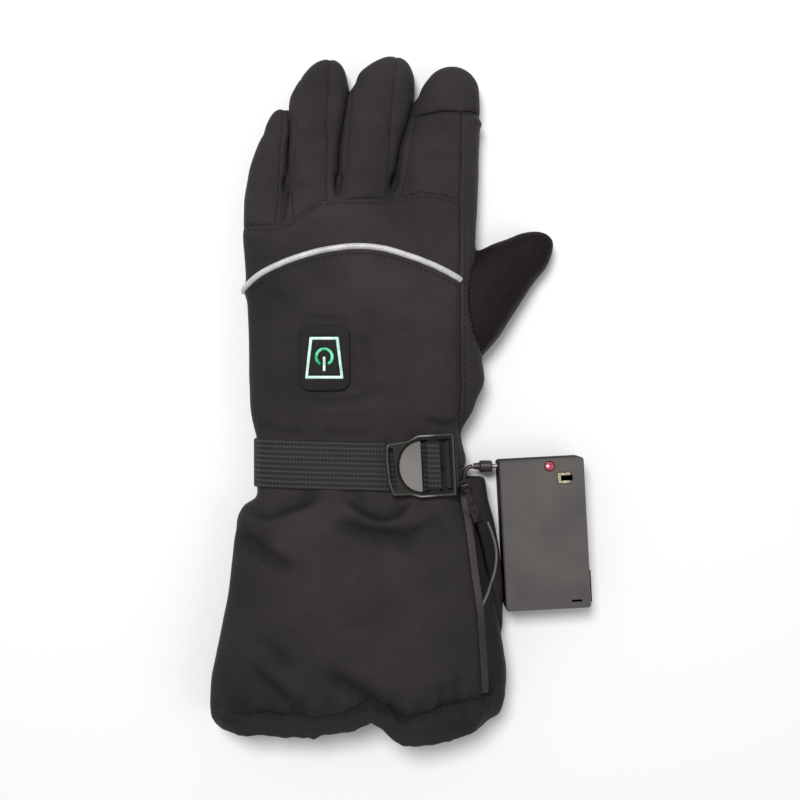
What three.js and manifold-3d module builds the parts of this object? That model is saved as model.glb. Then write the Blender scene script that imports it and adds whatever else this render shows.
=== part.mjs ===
// A heated winter glove for the left hand, lying palm down beside its battery case. Its lead comes out of
// a pocket on the gauntlet cuff and plugs into the case. Millimetres. +X is towards the thumb side, +Y
// towards the fingertips and +Z up. The origin is on the surface that the palm rests on, under the hand.
import * as THREE from "three";
import { mergeVertices } from "three/addons/utils/BufferGeometryUtils.js";
import Module from "manifold-3d";

const wasm = await Module();
wasm.setup();

// Driving dimensions
const WALL = 3; // padded shell: face fabric, wadding and lining
const POCKET_WALL = 2.2;
const GAP = 0.3; // between neighbouring pieces
const PALM_SEAM = 6; // height of the seam between the palm and what is above it
const SKY = 80; // above everything
const FAR = 200; // beyond everything to the sides
const WAIST = 0.4; // the widest level of a section, as a share of its height
const FLAT = 1.06; // a section's underside is cut flat where it rests, this much above its full depth

// Sections across the hand and the gauntlet, from the hem to the roots of the fingers
const SECTION = ["y", "left", "right", "top"];
const BODY = table(SECTION, [
  [-157, -92, 50, 31],
  [-151, -95, 52, 36],
  [-137, -94, 52.5, 38.5],
  [-118, -90, 50, 38],
  [-95, -85.5, 46, 37],
  [-72, -83, 41, 35],
  [-58, -81.5, 37, 33],
  [-52, -78, 32, 30],
  [-48, -71.8, 30, 29],
  [-17, -71.8, 30, 29],
  [-14, -73.4, 30.6, 29.6],
  [-5, -75, 36, 31],
  [12, -75.5, 41, 33],
  [32, -75.5, 39, 34],
  [60, -77, 37, 33],
  [82, -79, 37.5, 29],
  [104, -77.5, 38, 22],
]);
const BODY_STEP = 13; // between sections of the gauntlet once the folds are in
const WRIST_TOP = -48; // where the gauntlet's folds end
const BODY_SIDES = 24;

// The gauntlet's folds, seen from above: how far each stands proud of the plain form, or lies below it
const FOLDS = [
  {
    height: 2.4,
    width: 7,
    line: [
      [-76, -61],
      [-55, -56],
      [-34, -47],
      [-16, -60],
      [0, -62],
      [14, -53],
    ],
  },
  { height: -1.8, width: 6, line: [[-30, -63], [4, -73]] },
  { height: -1.8, width: 6, line: [[-79, -68], [-58, -83]] },
  { height: -1.6, width: 6, line: [[-70, -140], [-50, -156]] },
  { height: 1.8, width: 7, line: [[-31, -138], [-10, -152]] },
  { height: -2, width: 6, line: [[-12, -162], [-16, -136]] },
];

// The hem's edge as it falls from left to right: how far each place lies beyond the last section
const HEM_EDGE = [
  [-96, 1.5],
  [-89, -1.5],
  [-77, -4.5],
  [-62, -6.5],
  [-43, -7.2],
  [-27, -4.3],
  [-16, -0.5],
  [-11, 1.4],
  [-6, -2.9],
  [2, -8.2],
  [13.5, -9.2],
  [25, -7.6],
  [37, -3],
  [45.5, 2.5],
  [54, 8],
];
const HEM_SLIDE_START = -118;

// Each finger: sections from inside the hand to where its round tip begins, and the tip. The seam lines of
// its back strip run from its root to its tip.
const FINGERS = [
  {
    name: "pinky",
    rows: table(SECTION, [
      [78, -79, -56.8, 25],
      [100, -78.5, -56.6, 24],
      [115, -76, -56.4, 22.5],
      [126, -72.3, -56.2, 21],
    ]),
    tip: { x: -59.5, y: 146.5 },
    seams: { left: [-FAR, -FAR], right: [-61.2, -59.6] },
  },
  {
    name: "ring",
    rows: table(SECTION, [
      [78, -55.8, -31.9, 26],
      [100, -55.9, -31.6, 26],
      [125, -55.6, -30.9, 24.5],
      [150, -55.2, -27.2, 22],
    ]),
    tip: { x: -36, y: 171 },
    seams: { left: [-52.4, -49.5], right: [-37, -35.6] },
  },
  {
    name: "middle",
    rows: table(SECTION, [
      [78, -31, -4.9, 26.5],
      [100, -30.8, -4.8, 26.5],
      [125, -30.1, -1.1, 25],
      [150, -26.2, 6.3, 22.5],
    ]),
    tip: { x: -4, y: 172.5 },
    seams: { left: [-27.4, -21.5], right: [-8.4, -2] },
  },
  {
    name: "index",
    rows: table(SECTION, [
      [78, -4.1, 37, 26.5],
      [100, -4, 38.5, 26.5],
      [125, -0.3, 39.2, 24.5],
      [146, 6.9, 39.8, 22],
    ]),
    tip: { x: 25.5, y: 167.3 },
    seams: { left: [0.6, 12.5], right: [29, 30.5] },
  },
];
const FINGER_SIDES = 12;
const TIP_TURNS = [28, 54, 76]; // degrees up a round tip at which it has a section
const ROOT_Y = 98; // where the fingers' seam lines are said to begin

// The thumb along its own axis: y is the way to its tip
const THUMB = {
  tip: { x: 74, y: 81.5 },
  angle: 37,
  seam: 9,
  rows: table(SECTION, [
    [-74, -19, 25, 27],
    [-50, -18.5, 25, 26],
    [-35, -15.4, 19.6, 23],
    [-18, -10.6, 13.8, 19],
  ]),
};

// Seams over the back, seen from above
const KNUCKLES = [
  [-FAR, 85.5],
  [-57, 85.5],
  [-45.5, 92.5],
  [-38, 97.5],
  [-3, 98.5],
  [9.5, 101.5],
  [29, 98],
];
const SIDE_LINE = [
  [29, -34],
  [29, 98],
  [30.5, 160],
];
const WRIST_LINE = [
  [-FAR, -34],
  [FAR, -34],
];
const CAP_LINE = [
  [12, 190],
  [10, 160],
  [6.6, 149],
  [4.6, 141],
  [60, 143.2],
];
const ZIP_LINE = [
  [30.6, -20],
  [30.8, -46],
  [33.2, -62],
  [35.6, -82],
  [38.4, -102],
  [39.6, -122],
  [41, -150],
  [41.5, -FAR],
];
const HEM_LINE = [
  [-FAR, -147],
  [-74, -150.5],
  [-36, -152.5],
  [-15, -146],
  [2, -152],
  [18, -147.5],
  [43, -143],
  [FAR, -140],
];

// The piping across the knuckles: half its width, how deep it is sewn in and how high it stands
const PIPING = {
  half: 1.5,
  low: -1.4,
  high: 1.7,
  line: [
    [-78.7, 52.8],
    [-71, 59],
    [-63.4, 63.4],
    [-51.8, 68.2],
    [-36.5, 72.4],
    [-21.1, 74.1],
    [-7.7, 72.8],
    [7.7, 68],
    [19.2, 63.2],
    [27.8, 58.8],
  ],
};

// The pocket on the thumb side of the gauntlet, open towards the fingers, and its piped edge
const POCKET = table(SECTION, [
  [-130, 12, 49, 16],
  [-112, 16, 51, 22],
  [-92, 18, 51, 24],
  [-74, 20, 49, 23],
  [-60, 20, 46.5, 22],
  [-50, 20, 43.5, 21],
  [-38.5, 20, 42, 19],
]);
const POCKET_SIDES = 16;
const POCKET_EDGE = {
  half: 0.7,
  high: 1.5,
  line: [
    [42.2, -58],
    [45, -66],
    [46.6, -74],
    [45.8, -83],
    [43, -92],
    [39.5, -100],
  ],
};

// The push button, and the marks let into its top. The outline narrows towards the fingers.
const BUTTON = { x: -36.8, y: 20.2, width: 24.5, length: 31.6, corner: 5, low: GAP, high: 2.4 };
const MARK = { deep: 1, high: 0.15, line: 1, bottom: 18, top: 13.6, length: 19.6 };
const POWER = { up: 0.4, ring: 4.4, stem: 6.6, gap: 0.55 }; // the gap is half its angle

// The wrist strap of one-inch webbing, level along most of the wrist
const STRAP = { width: 24, thick: 1.6, clear: 0.35, left: -30.4, right: -33.6, low: 9, end: 17 };
const ANCHOR = { from: 23.6, seam: 21.8 };
const BUCKLE = { x: 14.2, y: -31.7, z: 29.3, tilt: 10.5, turn: 3, thick: 2.2, plate: 1.6 };

// Along the buckle: where its bars and slots are
const BARS = { face: -5.2, bar: -1.3, barEnd: 3.5, last: 9.8, end: 11.9 };
const RAILS = { inner: 12.6, outer: 15.2 };
const DISC = { depth: 10.6, reach: 12, sunk: 1 }; // raised, from the face bar towards the free end

// The outline of the buckle's free end, and the slot across it
const TOE = [
  [-6.2, 15.2],
  [-10.9, 12.8],
  [-21.7, 11.8],
  [-22.3, 3.5],
  [-21.5, -7.5],
  [-19.5, -13.4],
  [-10.8, -13.6],
  [-6.2, -15.2],
];
const TOE_SLOT = [
  [-20.8, 9.6],
  [-18.5, 9.6],
  [-17.3, -10.8],
  [-18.8, -10.8],
  [-20.2, -6],
];

// The zip down the thumb side of the gauntlet
const ZIP = { half: 1.9, high: 1.3, top: [30.8, -47.2], end: -141 };
const SLIDER = { x: 31.4, y: -41.9, z: 20.6, turn: 20, width: 4.6, length: 5.6, thick: 1.4 };
const LUGS = { thick: 0.9, reach: 1.5, over: 1.1, pin: 0.6, pinZ: 3.6 }; // they hold the puller's pin
const PULLER = { eye: 1.7, width: 2.6, stem: 10, tab: 8.5, tabWidth: 4.2, thick: 1.3, drop: 1, play: 0.35 };

// The lead, from the gland in the pocket round into the tail of its plug
const LEAD = { radius: 1.1, sides: 8, steps: 14, level: 10 };
const LEAD_ROUTE = [
  [43.5, -70],
  [43.3, -66],
  [41.3, -60],
  [37.4, -53],
  [34, -47],
  [32, -42],
  [31.6, -38],
  [32.6, -35.2],
  [34, -33.8],
  [36, -33.2],
];
const GLAND = { radius: 1.8, length: 7 };
const PLUG = { y: -33.2, tail: 36.3, body: 39.2, end: 45.7, radius: 3, neck: 1.9, barrel: 1.2, reach: 56 };

// The battery case and what is on its face, from its middle
const CASE = { width: 42, length: 74.4, height: 20, x: 71, y: -66.2, turn: 3, wall: 1.8 };
const CASE_EDGE = { corner: 1.6, edge: 0.7, inside: 0.5 };
const LED = { x: 4, y: 33.4, radius: 2.3, proud: 0.7 };
const PORT = { x: 10.8, y: 27.3, width: 6.3, length: 5.2, proud: 0.2 };
const PORT_MOUTH = { x: 12.1, y: 27.3, width: 5.8, length: 2.6 }; // it leaves the frame open on one side
const SLOT = { x: 14, y: -33.4, width: 5, length: 1.1 };
const CATCH = { from: -35.5, to: -19.5, low: 6, high: 15, proud: 1 };

const fabric = new THREE.MeshStandardMaterial({ color: "#3a3537", roughness: 0.85, metalness: 0 });
const leather = new THREE.MeshStandardMaterial({ color: "#2c292a", roughness: 0.7, metalness: 0 });
const reflective = new THREE.MeshStandardMaterial({ color: "#c9c4c4", roughness: 0.45, metalness: 0 });
const webbing = new THREE.MeshStandardMaterial({ color: "#35302f", roughness: 0.8, metalness: 0 });
const rubber = new THREE.MeshStandardMaterial({ color: "#1d1718", roughness: 0.55, metalness: 0 });
const lit = new THREE.MeshStandardMaterial({ color: "#3fae86", roughness: 0.4, metalness: 0 });
const acetal = new THREE.MeshStandardMaterial({ color: "#4a4745", roughness: 0.35, metalness: 0 });
const abs = new THREE.MeshStandardMaterial({ color: "#5a5654", roughness: 0.4, metalness: 0 });
const nickel = new THREE.MeshStandardMaterial({ color: "#cfc7b8", roughness: 0.25, metalness: 1 });
const pvc = new THREE.MeshStandardMaterial({ color: "#231f20", roughness: 0.5, metalness: 0 });
const lens = new THREE.MeshStandardMaterial({ color: "#d8244c", roughness: 0.2, metalness: 0 });

const root = new THREE.Group();
const half = GAP / 2;

// A short table: the names of its columns, then a list for each row.
function table(names, rows) {
  return rows.map((row) => Object.fromEntries(row.map((value, i) => [names[i], value])));
}

function radians(angle) {
  return THREE.MathUtils.degToRad(angle);
}

function mix(from, to, share) {
  return THREE.MathUtils.lerp(from, to, share);
}

// The value at a place along a line of [place, value] points, straight between them.
function along(line, place) {
  const found = line.findIndex((point) => point[0] >= place);
  const next = found < 0 ? line.length - 1 : Math.max(found, 1);
  const [from, to] = [line[next - 1], line[next]];
  const share = THREE.MathUtils.clamp((place - from[0]) / (to[0] - from[0]), 0, 1);
  return mix(from[1], to[1], share);
}

function solidOf(geometry) {
  const bare = new THREE.BufferGeometry();
  const plain = geometry.index ? geometry.toNonIndexed() : geometry;
  bare.setAttribute("position", plain.getAttribute("position"));
  const merged = mergeVertices(bare, 1e-4);
  const mesh = { numProp: 3, vertProperties: merged.attributes.position.array };
  return new wasm.Manifold(new wasm.Mesh({ ...mesh, triVerts: new Uint32Array(merged.index.array) }));
}

function geometryOf(solid) {
  const mesh = solid.getMesh();
  const geometry = new THREE.BufferGeometry();
  geometry.setAttribute("position", new THREE.BufferAttribute(mesh.vertProperties, 3));
  geometry.setIndex(new THREE.BufferAttribute(mesh.triVerts, 1));
  geometry.computeVertexNormals();
  return geometry;
}

function place(name, solid, material) {
  const mesh = new THREE.Mesh(geometryOf(solid), material);
  mesh.name = name;
  root.add(mesh);
  return mesh;
}

function union(solids) {
  return solids.reduce((whole, next) => whole.add(next));
}

// A closed tube through rings of points, all with the same number of points.
function loft(rings) {
  const count = rings[0].length;
  const last = (rings.length - 1) * count;
  const index = [];
  for (let start = 0; start < last; start += count)
    for (let i = 0; i < count; i++) {
      const a = start + i;
      const b = start + ((i + 1) % count);
      index.push(a, b, b + count, a, b + count, a + count);
    }
  for (let i = 1; i < count - 1; i++) index.push(0, i + 1, i, last, last + i, last + i + 1);
  const geometry = new THREE.BufferGeometry();
  const positions = rings.flat().flatMap((point) => point.toArray());
  geometry.setAttribute("position", new THREE.Float32BufferAttribute(positions, 3));
  geometry.setIndex(index);
  return geometry;
}

// The outline of a section: flat below, rounder above, widest at its waist.
function sectionRing(section, count) {
  const { y, left, right, top, bottom = 0, topPower = 3, bottomPower = 4 } = section;
  const middle = (left + right) / 2;
  const reach = (right - left) / 2;
  const waist = mix(bottom, top, WAIST);
  return Array.from({ length: count }, (_, i) => {
    const angle = (-2 * Math.PI * i) / count;
    const [c, s] = [Math.cos(angle), Math.sin(angle)];
    const power = 2 / (s > 0 ? topPower : bottomPower);
    const x = middle + reach * Math.sign(c) * Math.abs(c) ** power;
    const share = Math.abs(s) ** power;
    const z = s > 0 ? mix(waist, top, share) : Math.max(bottom, mix(waist, bottom, share * FLAT));
    return new THREE.Vector3(x, y, z);
  });
}

// The same section with its surface moved out by a distance, or in if it is negative.
function grown(row, distance) {
  return {
    ...row,
    left: row.left - distance,
    right: row.right + distance,
    top: row.top + distance,
    bottom: (row.bottom ?? 0) - distance,
  };
}

// A table of sections with more put in between those of the gauntlet, where the folds are.
function spaced(rows) {
  const fine = rows.slice(1).flatMap((next, i) => {
    const from = rows[i];
    const folded = from.y < WRIST_TOP ? Math.round((next.y - from.y) / BODY_STEP) : 1;
    const count = Math.max(folded, 1);
    const value = (name, k) => mix(from[name], next[name], k / count);
    const row = (_, k) => table(SECTION, [SECTION.map((name) => value(name, k))])[0];
    return Array.from({ length: count }, row);
  });
  return [...fine, rows.at(-1)];
}

// A round tip: sections that close on a point over a quarter turn.
function tipSections(last, tip, distance) {
  const length = tip.y + distance - last.y;
  const [middle, reach] = [(last.left + last.right) / 2, (last.right - last.left) / 2];
  const level = mix(last.bottom, last.top, WAIST);
  return TIP_TURNS.map((angle) => {
    const [rise, share] = [Math.sin(radians(angle)), Math.cos(radians(angle))];
    const x = mix(middle, tip.x, rise);
    return {
      ...last,
      y: last.y + length * rise,
      left: x - reach * share,
      right: x + reach * share,
      top: mix(level, last.top, share ** 0.8),
      bottom: mix(level, last.bottom, share ** 0.8),
    };
  });
}

function finger({ rows, tip }, distance) {
  const sides = rows.map((row) => grown(row, distance));
  const sections = [...sides, ...tipSections(sides[sides.length - 1], tip, distance)];
  return loft(sections.map((section) => sectionRing({ ...section, topPower: 2.5 }, FINGER_SIDES)));
}

function thumb(distance) {
  const turn = new THREE.Matrix4().makeRotationZ(radians(THUMB.angle - 90));
  turn.setPosition(THUMB.tip.x, THUMB.tip.y, 0);
  return solidOf(finger({ rows: THUMB.rows, tip: { x: 0, y: 0 } }, distance).applyMatrix4(turn));
}

// How far a place on the gauntlet slides along Y, so that its last section follows the hem's edge.
function hemSlide(point) {
  const share = (HEM_SLIDE_START - point.y) / (HEM_SLIDE_START - BODY[0].y);
  return along(HEM_EDGE, point.x) * THREE.MathUtils.clamp(share, 0, 1);
}

// How far a place on the gauntlet is raised by its folds.
function foldHeight(point) {
  const spot = new THREE.Vector3(point.x, point.y, 0);
  const raised = FOLDS.map(({ height, width, line }) => {
    const points = line.map(([x, y]) => new THREE.Vector3(x, y, 0));
    const nearest = points.slice(1).map((end, i) => {
      const on = new THREE.Line3(points[i], end).closestPointToPoint(spot, true, new THREE.Vector3());
      return on.distanceTo(spot);
    });
    return height * Math.exp(-((Math.min(...nearest) / width) ** 2));
  });
  const upper = THREE.MathUtils.smoothstep(point.z, 12, 24);
  const beyondStrap = THREE.MathUtils.smoothstep(-point.y, 47, 56);
  return raised.reduce((sum, one) => sum + one, 0) * upper * beyondStrap;
}

// The hand and gauntlet without fingers. A hollow's form runs on past the hem by an overrun.
function body(distance, overrun = 0) {
  const rows = overrun ? BODY : spaced(BODY);
  const sections = rows.map((row) => grown(row, distance));
  const rings = sections.map((section) => sectionRing(section, BODY_SIDES));
  for (const point of rings.flat()) {
    point.z += overrun ? 0 : foldHeight(point);
    point.y += hemSlide(point);
  }
  if (overrun) rings.unshift(rings[0].map((point) => point.clone().setY(point.y - overrun)));
  const end = rings[rings.length - 1];
  for (const point of end) point.y += Math.min(distance, 0);
  return solidOf(loft(rings));
}

// The pocket's form, or its hollow, which runs on past its mouth.
function pocket(distance, overrun = 0) {
  const sections = POCKET.map((row) => grown(row, distance));
  sections[0].y -= distance;
  sections[sections.length - 1].y += overrun;
  return solidOf(loft(sections.map((section) => sectionRing(section, POCKET_SIDES))));
}

// An upright block over an outline of [x, y] points.
function block(outline, low = -SKY, high = SKY) {
  const shape = new THREE.Shape(outline.map(([x, y]) => new THREE.Vector2(x, y)));
  const geometry = new THREE.ExtrudeGeometry(shape, { depth: high - low, bevelEnabled: false });
  return solidOf(geometry.translate(0, 0, low));
}

// A box between two corners.
function box(low, high) {
  const size = high.map((value, i) => value - low[i]);
  const geometry = new THREE.BoxGeometry(...size);
  return solidOf(geometry.translate(...low.map((value, i) => value + size[i] / 2)));
}

// The outline of a strip along a line, so far to each side of it, with mitred corners.
function strip(line, reach) {
  const points = line.map(([x, y]) => new THREE.Vector2(x, y));
  const ways = points.slice(1).map((point, i) => point.clone().sub(points[i]).normalize());
  const side = (distance) =>
    points.map((point, i) => {
      const [before, after] = [ways[Math.max(i - 1, 0)], ways[Math.min(i, ways.length - 1)]];
      const scale = distance / (1 + before.dot(after));
      return [point.x + (before.y + after.y) * scale, point.y - (before.x + after.x) * scale];
    });
  return [...side(-reach), ...side(reach).reverse()];
}

function blade(line) {
  return block(strip(line, half));
}

function roundedShape(width, length, corner) {
  const [x, y] = [width / 2, length / 2];
  const shape = new THREE.Shape();
  shape.absarc(x - corner, y - corner, corner, 0, Math.PI / 2);
  shape.absarc(corner - x, y - corner, corner, Math.PI / 2, Math.PI);
  shape.absarc(corner - x, corner - y, corner, Math.PI, 1.5 * Math.PI);
  shape.absarc(x - corner, corner - y, corner, 1.5 * Math.PI, 2 * Math.PI);
  return shape;
}

function plate(shape, depth, curveSegments = 3) {
  return new THREE.ExtrudeGeometry(shape, { depth, bevelEnabled: false, curveSegments });
}

// A round rod between two distances along an axis, x or z, from a place.
function rod(axis, radius, from, to, [x, y, z], sides = 12) {
  const geometry = new THREE.CylinderGeometry(radius, radius, to - from, sides);
  geometry.translate(0, (from + to) / 2, 0);
  if (axis === "x") geometry.rotateZ(-Math.PI / 2);
  if (axis === "z") geometry.rotateX(Math.PI / 2);
  return solidOf(geometry.translate(x, y, z));
}

// The hand's hollow and its padded shell
const outside = union([body(0), ...FINGERS.map((one) => solidOf(finger(one, 0)))]);
const hollow = union([body(-WALL, 20), thumb(-WALL), ...FINGERS.map((one) => solidOf(finger(one, -WALL)))]);
const shell = outside.subtract(hollow);
const above = shell.intersect(box([-FAR, -FAR, PALM_SEAM + half], [FAR, FAR, SKY]));
const beneath = shell.intersect(box([-FAR, -FAR, -SKY], [FAR, FAR, PALM_SEAM - half]));

// Where the seam line of a finger's back strip runs
function seamLine(one, side) {
  const [from, to] = one.seams[side];
  const slope = (to - from) / (one.tip.y - ROOT_Y);
  return [ROOT_Y - 20, FAR].map((y) => [from + (y - ROOT_Y) * slope, y]);
}

const capRegion = block([...CAP_LINE, [60, 190]]);
const fingerSeams = FINGERS.flatMap((one) => ["left", "right"].map((side) => seamLine(one, side)));
const fingerBlades = union([KNUCKLES, SIDE_LINE, CAP_LINE, ...fingerSeams].map(blade));
const fingerRegion = block([...KNUCKLES, [FAR, 98], [FAR, FAR], [-FAR, FAR]]).subtract(capRegion);

// The part of the fingers' back between two lines
function between(left, right) {
  const area = block([...left, ...right.toReversed()]).intersect(fingerRegion);
  return above.intersect(area).subtract(fingerBlades);
}

function buildFingers() {
  FINGERS.forEach((one, i) => {
    const right = i === FINGERS.length - 1 ? SIDE_LINE.with(0, [29, 78]) : seamLine(one, "right");
    place(`${one.name}_back`, between(seamLine(one, "left"), right), fabric);
    const next = FINGERS[i + 1];
    if (!next) return;
    place(`fourchette_${one.name}_${next.name}`, between(right, seamLine(next, "left")), leather);
  });
  place("index_tip_cap", above.intersect(capRegion).subtract(blade(CAP_LINE)), fabric);
}

function buildHand() {
  const [left, seam, wrist] = [-FAR, SIDE_LINE[0][0], WRIST_LINE[0][1]];
  const piping = block(strip(PIPING.line, PIPING.half + GAP));
  const seams = union([KNUCKLES, SIDE_LINE, CAP_LINE, WRIST_LINE].map(blade)).add(piping);
  const pipingLine = [[left, 55], ...PIPING.line, [seam, PIPING.line.at(-1)[1]]];
  const knuckles = block([...pipingLine, ...KNUCKLES.toReversed()]);
  place("knuckle_band", above.intersect(knuckles).subtract(seams), fabric);
  const back = block([...pipingLine, [seam, wrist], [left, wrist]]);
  place("back_hand", above.intersect(back).subtract(seams), fabric);
  const side = block([...SIDE_LINE, [FAR, SIDE_LINE.at(-1)[1]], [FAR, wrist]]).subtract(capRegion);
  place("index_side", above.intersect(side).subtract(seams), fabric);
  const hand = box([-FAR, wrist + half, -SKY], [FAR, FAR, SKY]);
  place("palm", beneath.intersect(hand), leather);
  const skin = body(PIPING.high).subtract(body(PIPING.low));
  const reach = box([-FAR, -FAR, PALM_SEAM], [seam - half, FAR, SKY]);
  const bead = block(strip(PIPING.line, PIPING.half)).intersect(reach);
  place("knuckle_piping", skin.intersect(bead), reflective);
}

function buildThumb() {
  const form = thumb(0).subtract(body(GAP)).subtract(hollow);
  place("thumb_back", form.intersect(box([-FAR, -FAR, THUMB.seam + half], [FAR, FAR, SKY])), leather);
  place("thumb_palm", form.intersect(box([-FAR, -FAR, -SKY], [FAR, FAR, THUMB.seam - half])), leather);
}

// A layer over the hand and gauntlet, between two heights off the surface
function layer(low, high) {
  return body(high).subtract(body(low));
}

function buildButton() {
  const { x, y, width, length, corner, low, high } = BUTTON;
  const { deep, line, bottom, top } = MARK;
  const { up, ring, stem } = POWER;
  const put = (shape) => solidOf(plate(shape, SKY).translate(x, y, 0));
  const trapezoid = (inset) => {
    const [reach, upper, lower] = [MARK.length / 2 - inset, top / 2 - inset, bottom / 2 - inset];
    const corners = [[-lower, -reach], [lower, -reach], [upper, reach], [-upper, reach]];
    return new THREE.Shape(corners.map((point) => new THREE.Vector2(...point)));
  };
  const frame = (grow) => put(trapezoid(-grow)).subtract(put(trapezoid(line + grow)));
  const arc = (grow) => {
    const shape = new THREE.Shape();
    const gap = POWER.gap - grow / ring;
    shape.absarc(0, 0, ring + grow, -Math.PI / 2 + gap, 1.5 * Math.PI - gap);
    shape.absarc(0, 0, ring - line - grow, 1.5 * Math.PI - gap, -Math.PI / 2 + gap, true);
    return solidOf(plate(shape, SKY, 6).translate(x, y + up, 0));
  };
  const bar = (grow) => {
    const reach = line / 2 + grow;
    return box([x - reach, y + up - stem - grow, 0], [x + reach, y + up + grow, SKY]);
  };
  const marks = { button_outline: frame, power_ring: arc, power_bar: bar };
  const inlay = layer(high - deep, high + MARK.high);
  const cuts = union(Object.values(marks).map((one) => one(GAP)));
  const grooves = layer(high - deep - GAP, high + 1).intersect(cuts);
  const pad = layer(low, high).intersect(put(roundedShape(width, length, corner)));
  place("button_pad", pad.subtract(grooves), rubber);
  for (const [name, one] of Object.entries(marks)) place(name, inlay.intersect(one(0)), lit);
}

// The gauntlet: its panels meet at the palm seam, under the zip and at the hem band
function buildCuff() {
  const wrist = WRIST_LINE[0][1];
  const aboveHem = block([...HEM_LINE, [FAR, wrist], [-FAR, wrist]]);
  const seams = union([HEM_LINE, ZIP_LINE, WRIST_LINE].map(blade));
  const zipSide = block([...ZIP_LINE, [FAR, -FAR], [FAR, ZIP_LINE[0][1]]]);
  const cuff = above.intersect(aboveHem);
  place("cuff_back", cuff.subtract(zipSide).subtract(seams), fabric);
  place("cuff_side", cuff.intersect(zipSide).subtract(seams), fabric);
  const palmSeams = union([HEM_LINE, WRIST_LINE].map(blade));
  place("cuff_palm", beneath.intersect(aboveHem).subtract(palmSeams), leather);
  const belowHem = block([...HEM_LINE, [FAR, -FAR], [-FAR, -FAR]]);
  place("hem_band", shell.intersect(belowHem).subtract(blade(HEM_LINE)), fabric);
}

function buildPocket() {
  const form = pocket(0).subtract(body(GAP)).subtract(pocket(-POCKET_WALL, POCKET_WALL + 1));
  place("battery_pocket", form, fabric);
  const piping = pocket(POCKET_EDGE.high).subtract(pocket(GAP)).subtract(body(GAP));
  const edge = block(strip(POCKET_EDGE.line, POCKET_EDGE.half), PALM_SEAM);
  place("pocket_piping", piping.intersect(edge), leather);
}

function buildZip() {
  const cover = body(ZIP.high).add(pocket(ZIP.high)).subtract(body(GAP)).subtract(pocket(GAP));
  const line = [ZIP.top, ...ZIP_LINE.slice(2)];
  const reach = box([-FAR, ZIP.end, PALM_SEAM], [FAR, ZIP.top[1], SKY]);
  place("zip_band", cover.intersect(block(strip(line, ZIP.half))).intersect(reach), webbing);
}

// The strap: a band over the wrist, whose end goes round the buckle's middle bar
const buckleFrame = new THREE.Matrix4().makeRotationZ(radians(BUCKLE.turn));
buckleFrame.multiply(new THREE.Matrix4().makeRotationY(radians(BUCKLE.tilt)));
buckleFrame.setPosition(BUCKLE.x, BUCKLE.y, BUCKLE.z);

function onBuckle(geometry) {
  return solidOf(geometry.applyMatrix4(buckleFrame));
}

// A loop of webbing round a bar of the buckle, with its run down to the wrist
function webbingLoop(from, to, clear, drop) {
  const { thick, width } = STRAP;
  const [x0, x1, z0, z1] = [from - clear, to + clear, -clear, BUCKLE.thick + clear];
  const length = width - 0.8;
  const outer = new THREE.BoxGeometry(x1 - x0 + 2 * thick, length, z1 - z0 + 2 * thick);
  const inner = new THREE.BoxGeometry(x1 - x0, length + 2, z1 - z0);
  const foot = new THREE.BoxGeometry(x1 - x0 + 2 * thick, length, drop);
  const middle = [(x0 + x1) / 2, 0, (z0 + z1) / 2];
  const whole = onBuckle(outer.translate(...middle));
  const run = onBuckle(foot.translate(middle[0], 0, z0 - thick - drop / 2 + 0.2));
  return whole.add(run).subtract(onBuckle(inner.translate(...middle)));
}

function buildStrap() {
  const { width, thick, clear, left, right, low, end } = STRAP;
  const edges = [[-90, left], [40, right]];
  const band = layer(GAP, GAP + thick).intersect(block(strip(edges, width / 2), low));
  const free = body(GAP);
  const strapEnd = box([-FAR, -FAR, 0], [end, FAR, SKY]);
  const loop = webbingLoop(BARS.bar, BARS.barEnd, clear, 0.6);
  place("strap", band.intersect(strapEnd).add(loop.subtract(free)), webbing);
  const anchor = webbingLoop(BARS.last, BARS.end, clear, 4).subtract(free);
  const tape = band.intersect(box([ANCHOR.from, -FAR, ANCHOR.seam], [FAR, FAR, SKY]));
  const room = [SLIDER.width / 2 + GAP, SLIDER.length / 2 + GAP];
  const clearing = onSlider(box([-room[0], -room[1], -1], [room[0], room[1], SKY]));
  place("strap_anchor", tape.add(anchor).subtract(clearing), webbing);
}

function buildBuckle() {
  const { face, bar, barEnd, last, end } = BARS;
  const { inner, outer } = RAILS;
  const outline = [[end, -outer], [end, outer], ...TOE];
  const shape = new THREE.Shape(outline.map((point) => new THREE.Vector2(...point)));
  const hole = (from, to, reach) => {
    const geometry = new THREE.BoxGeometry(to - from, 2 * reach, 4 * BUCKLE.thick);
    return onBuckle(geometry.translate((from + to) / 2, 0, 0));
  };
  const disc = new THREE.Shape();
  disc.absellipse(face, 0, DISC.depth, DISC.reach, Math.PI / 2, 1.5 * Math.PI);
  const raised = plate(disc, BUCKLE.plate + DISC.sunk, 12).translate(0, 0, BUCKLE.thick - DISC.sunk);
  const slot = block(TOE_SLOT, -SKY, SKY).transform(buckleFrame.toArray());
  const holes = union([hole(barEnd, last, inner), hole(face, bar, inner), slot]);
  const frame = onBuckle(plate(shape, BUCKLE.thick)).subtract(holes);
  place("buckle", frame.add(onBuckle(raised)), acetal);
}

// Something on the zip's slider, in the slider's own place
function onSlider(solid) {
  return solid.rotate([0, 0, SLIDER.turn]).translate([SLIDER.x, SLIDER.y, SLIDER.z]);
}

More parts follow.
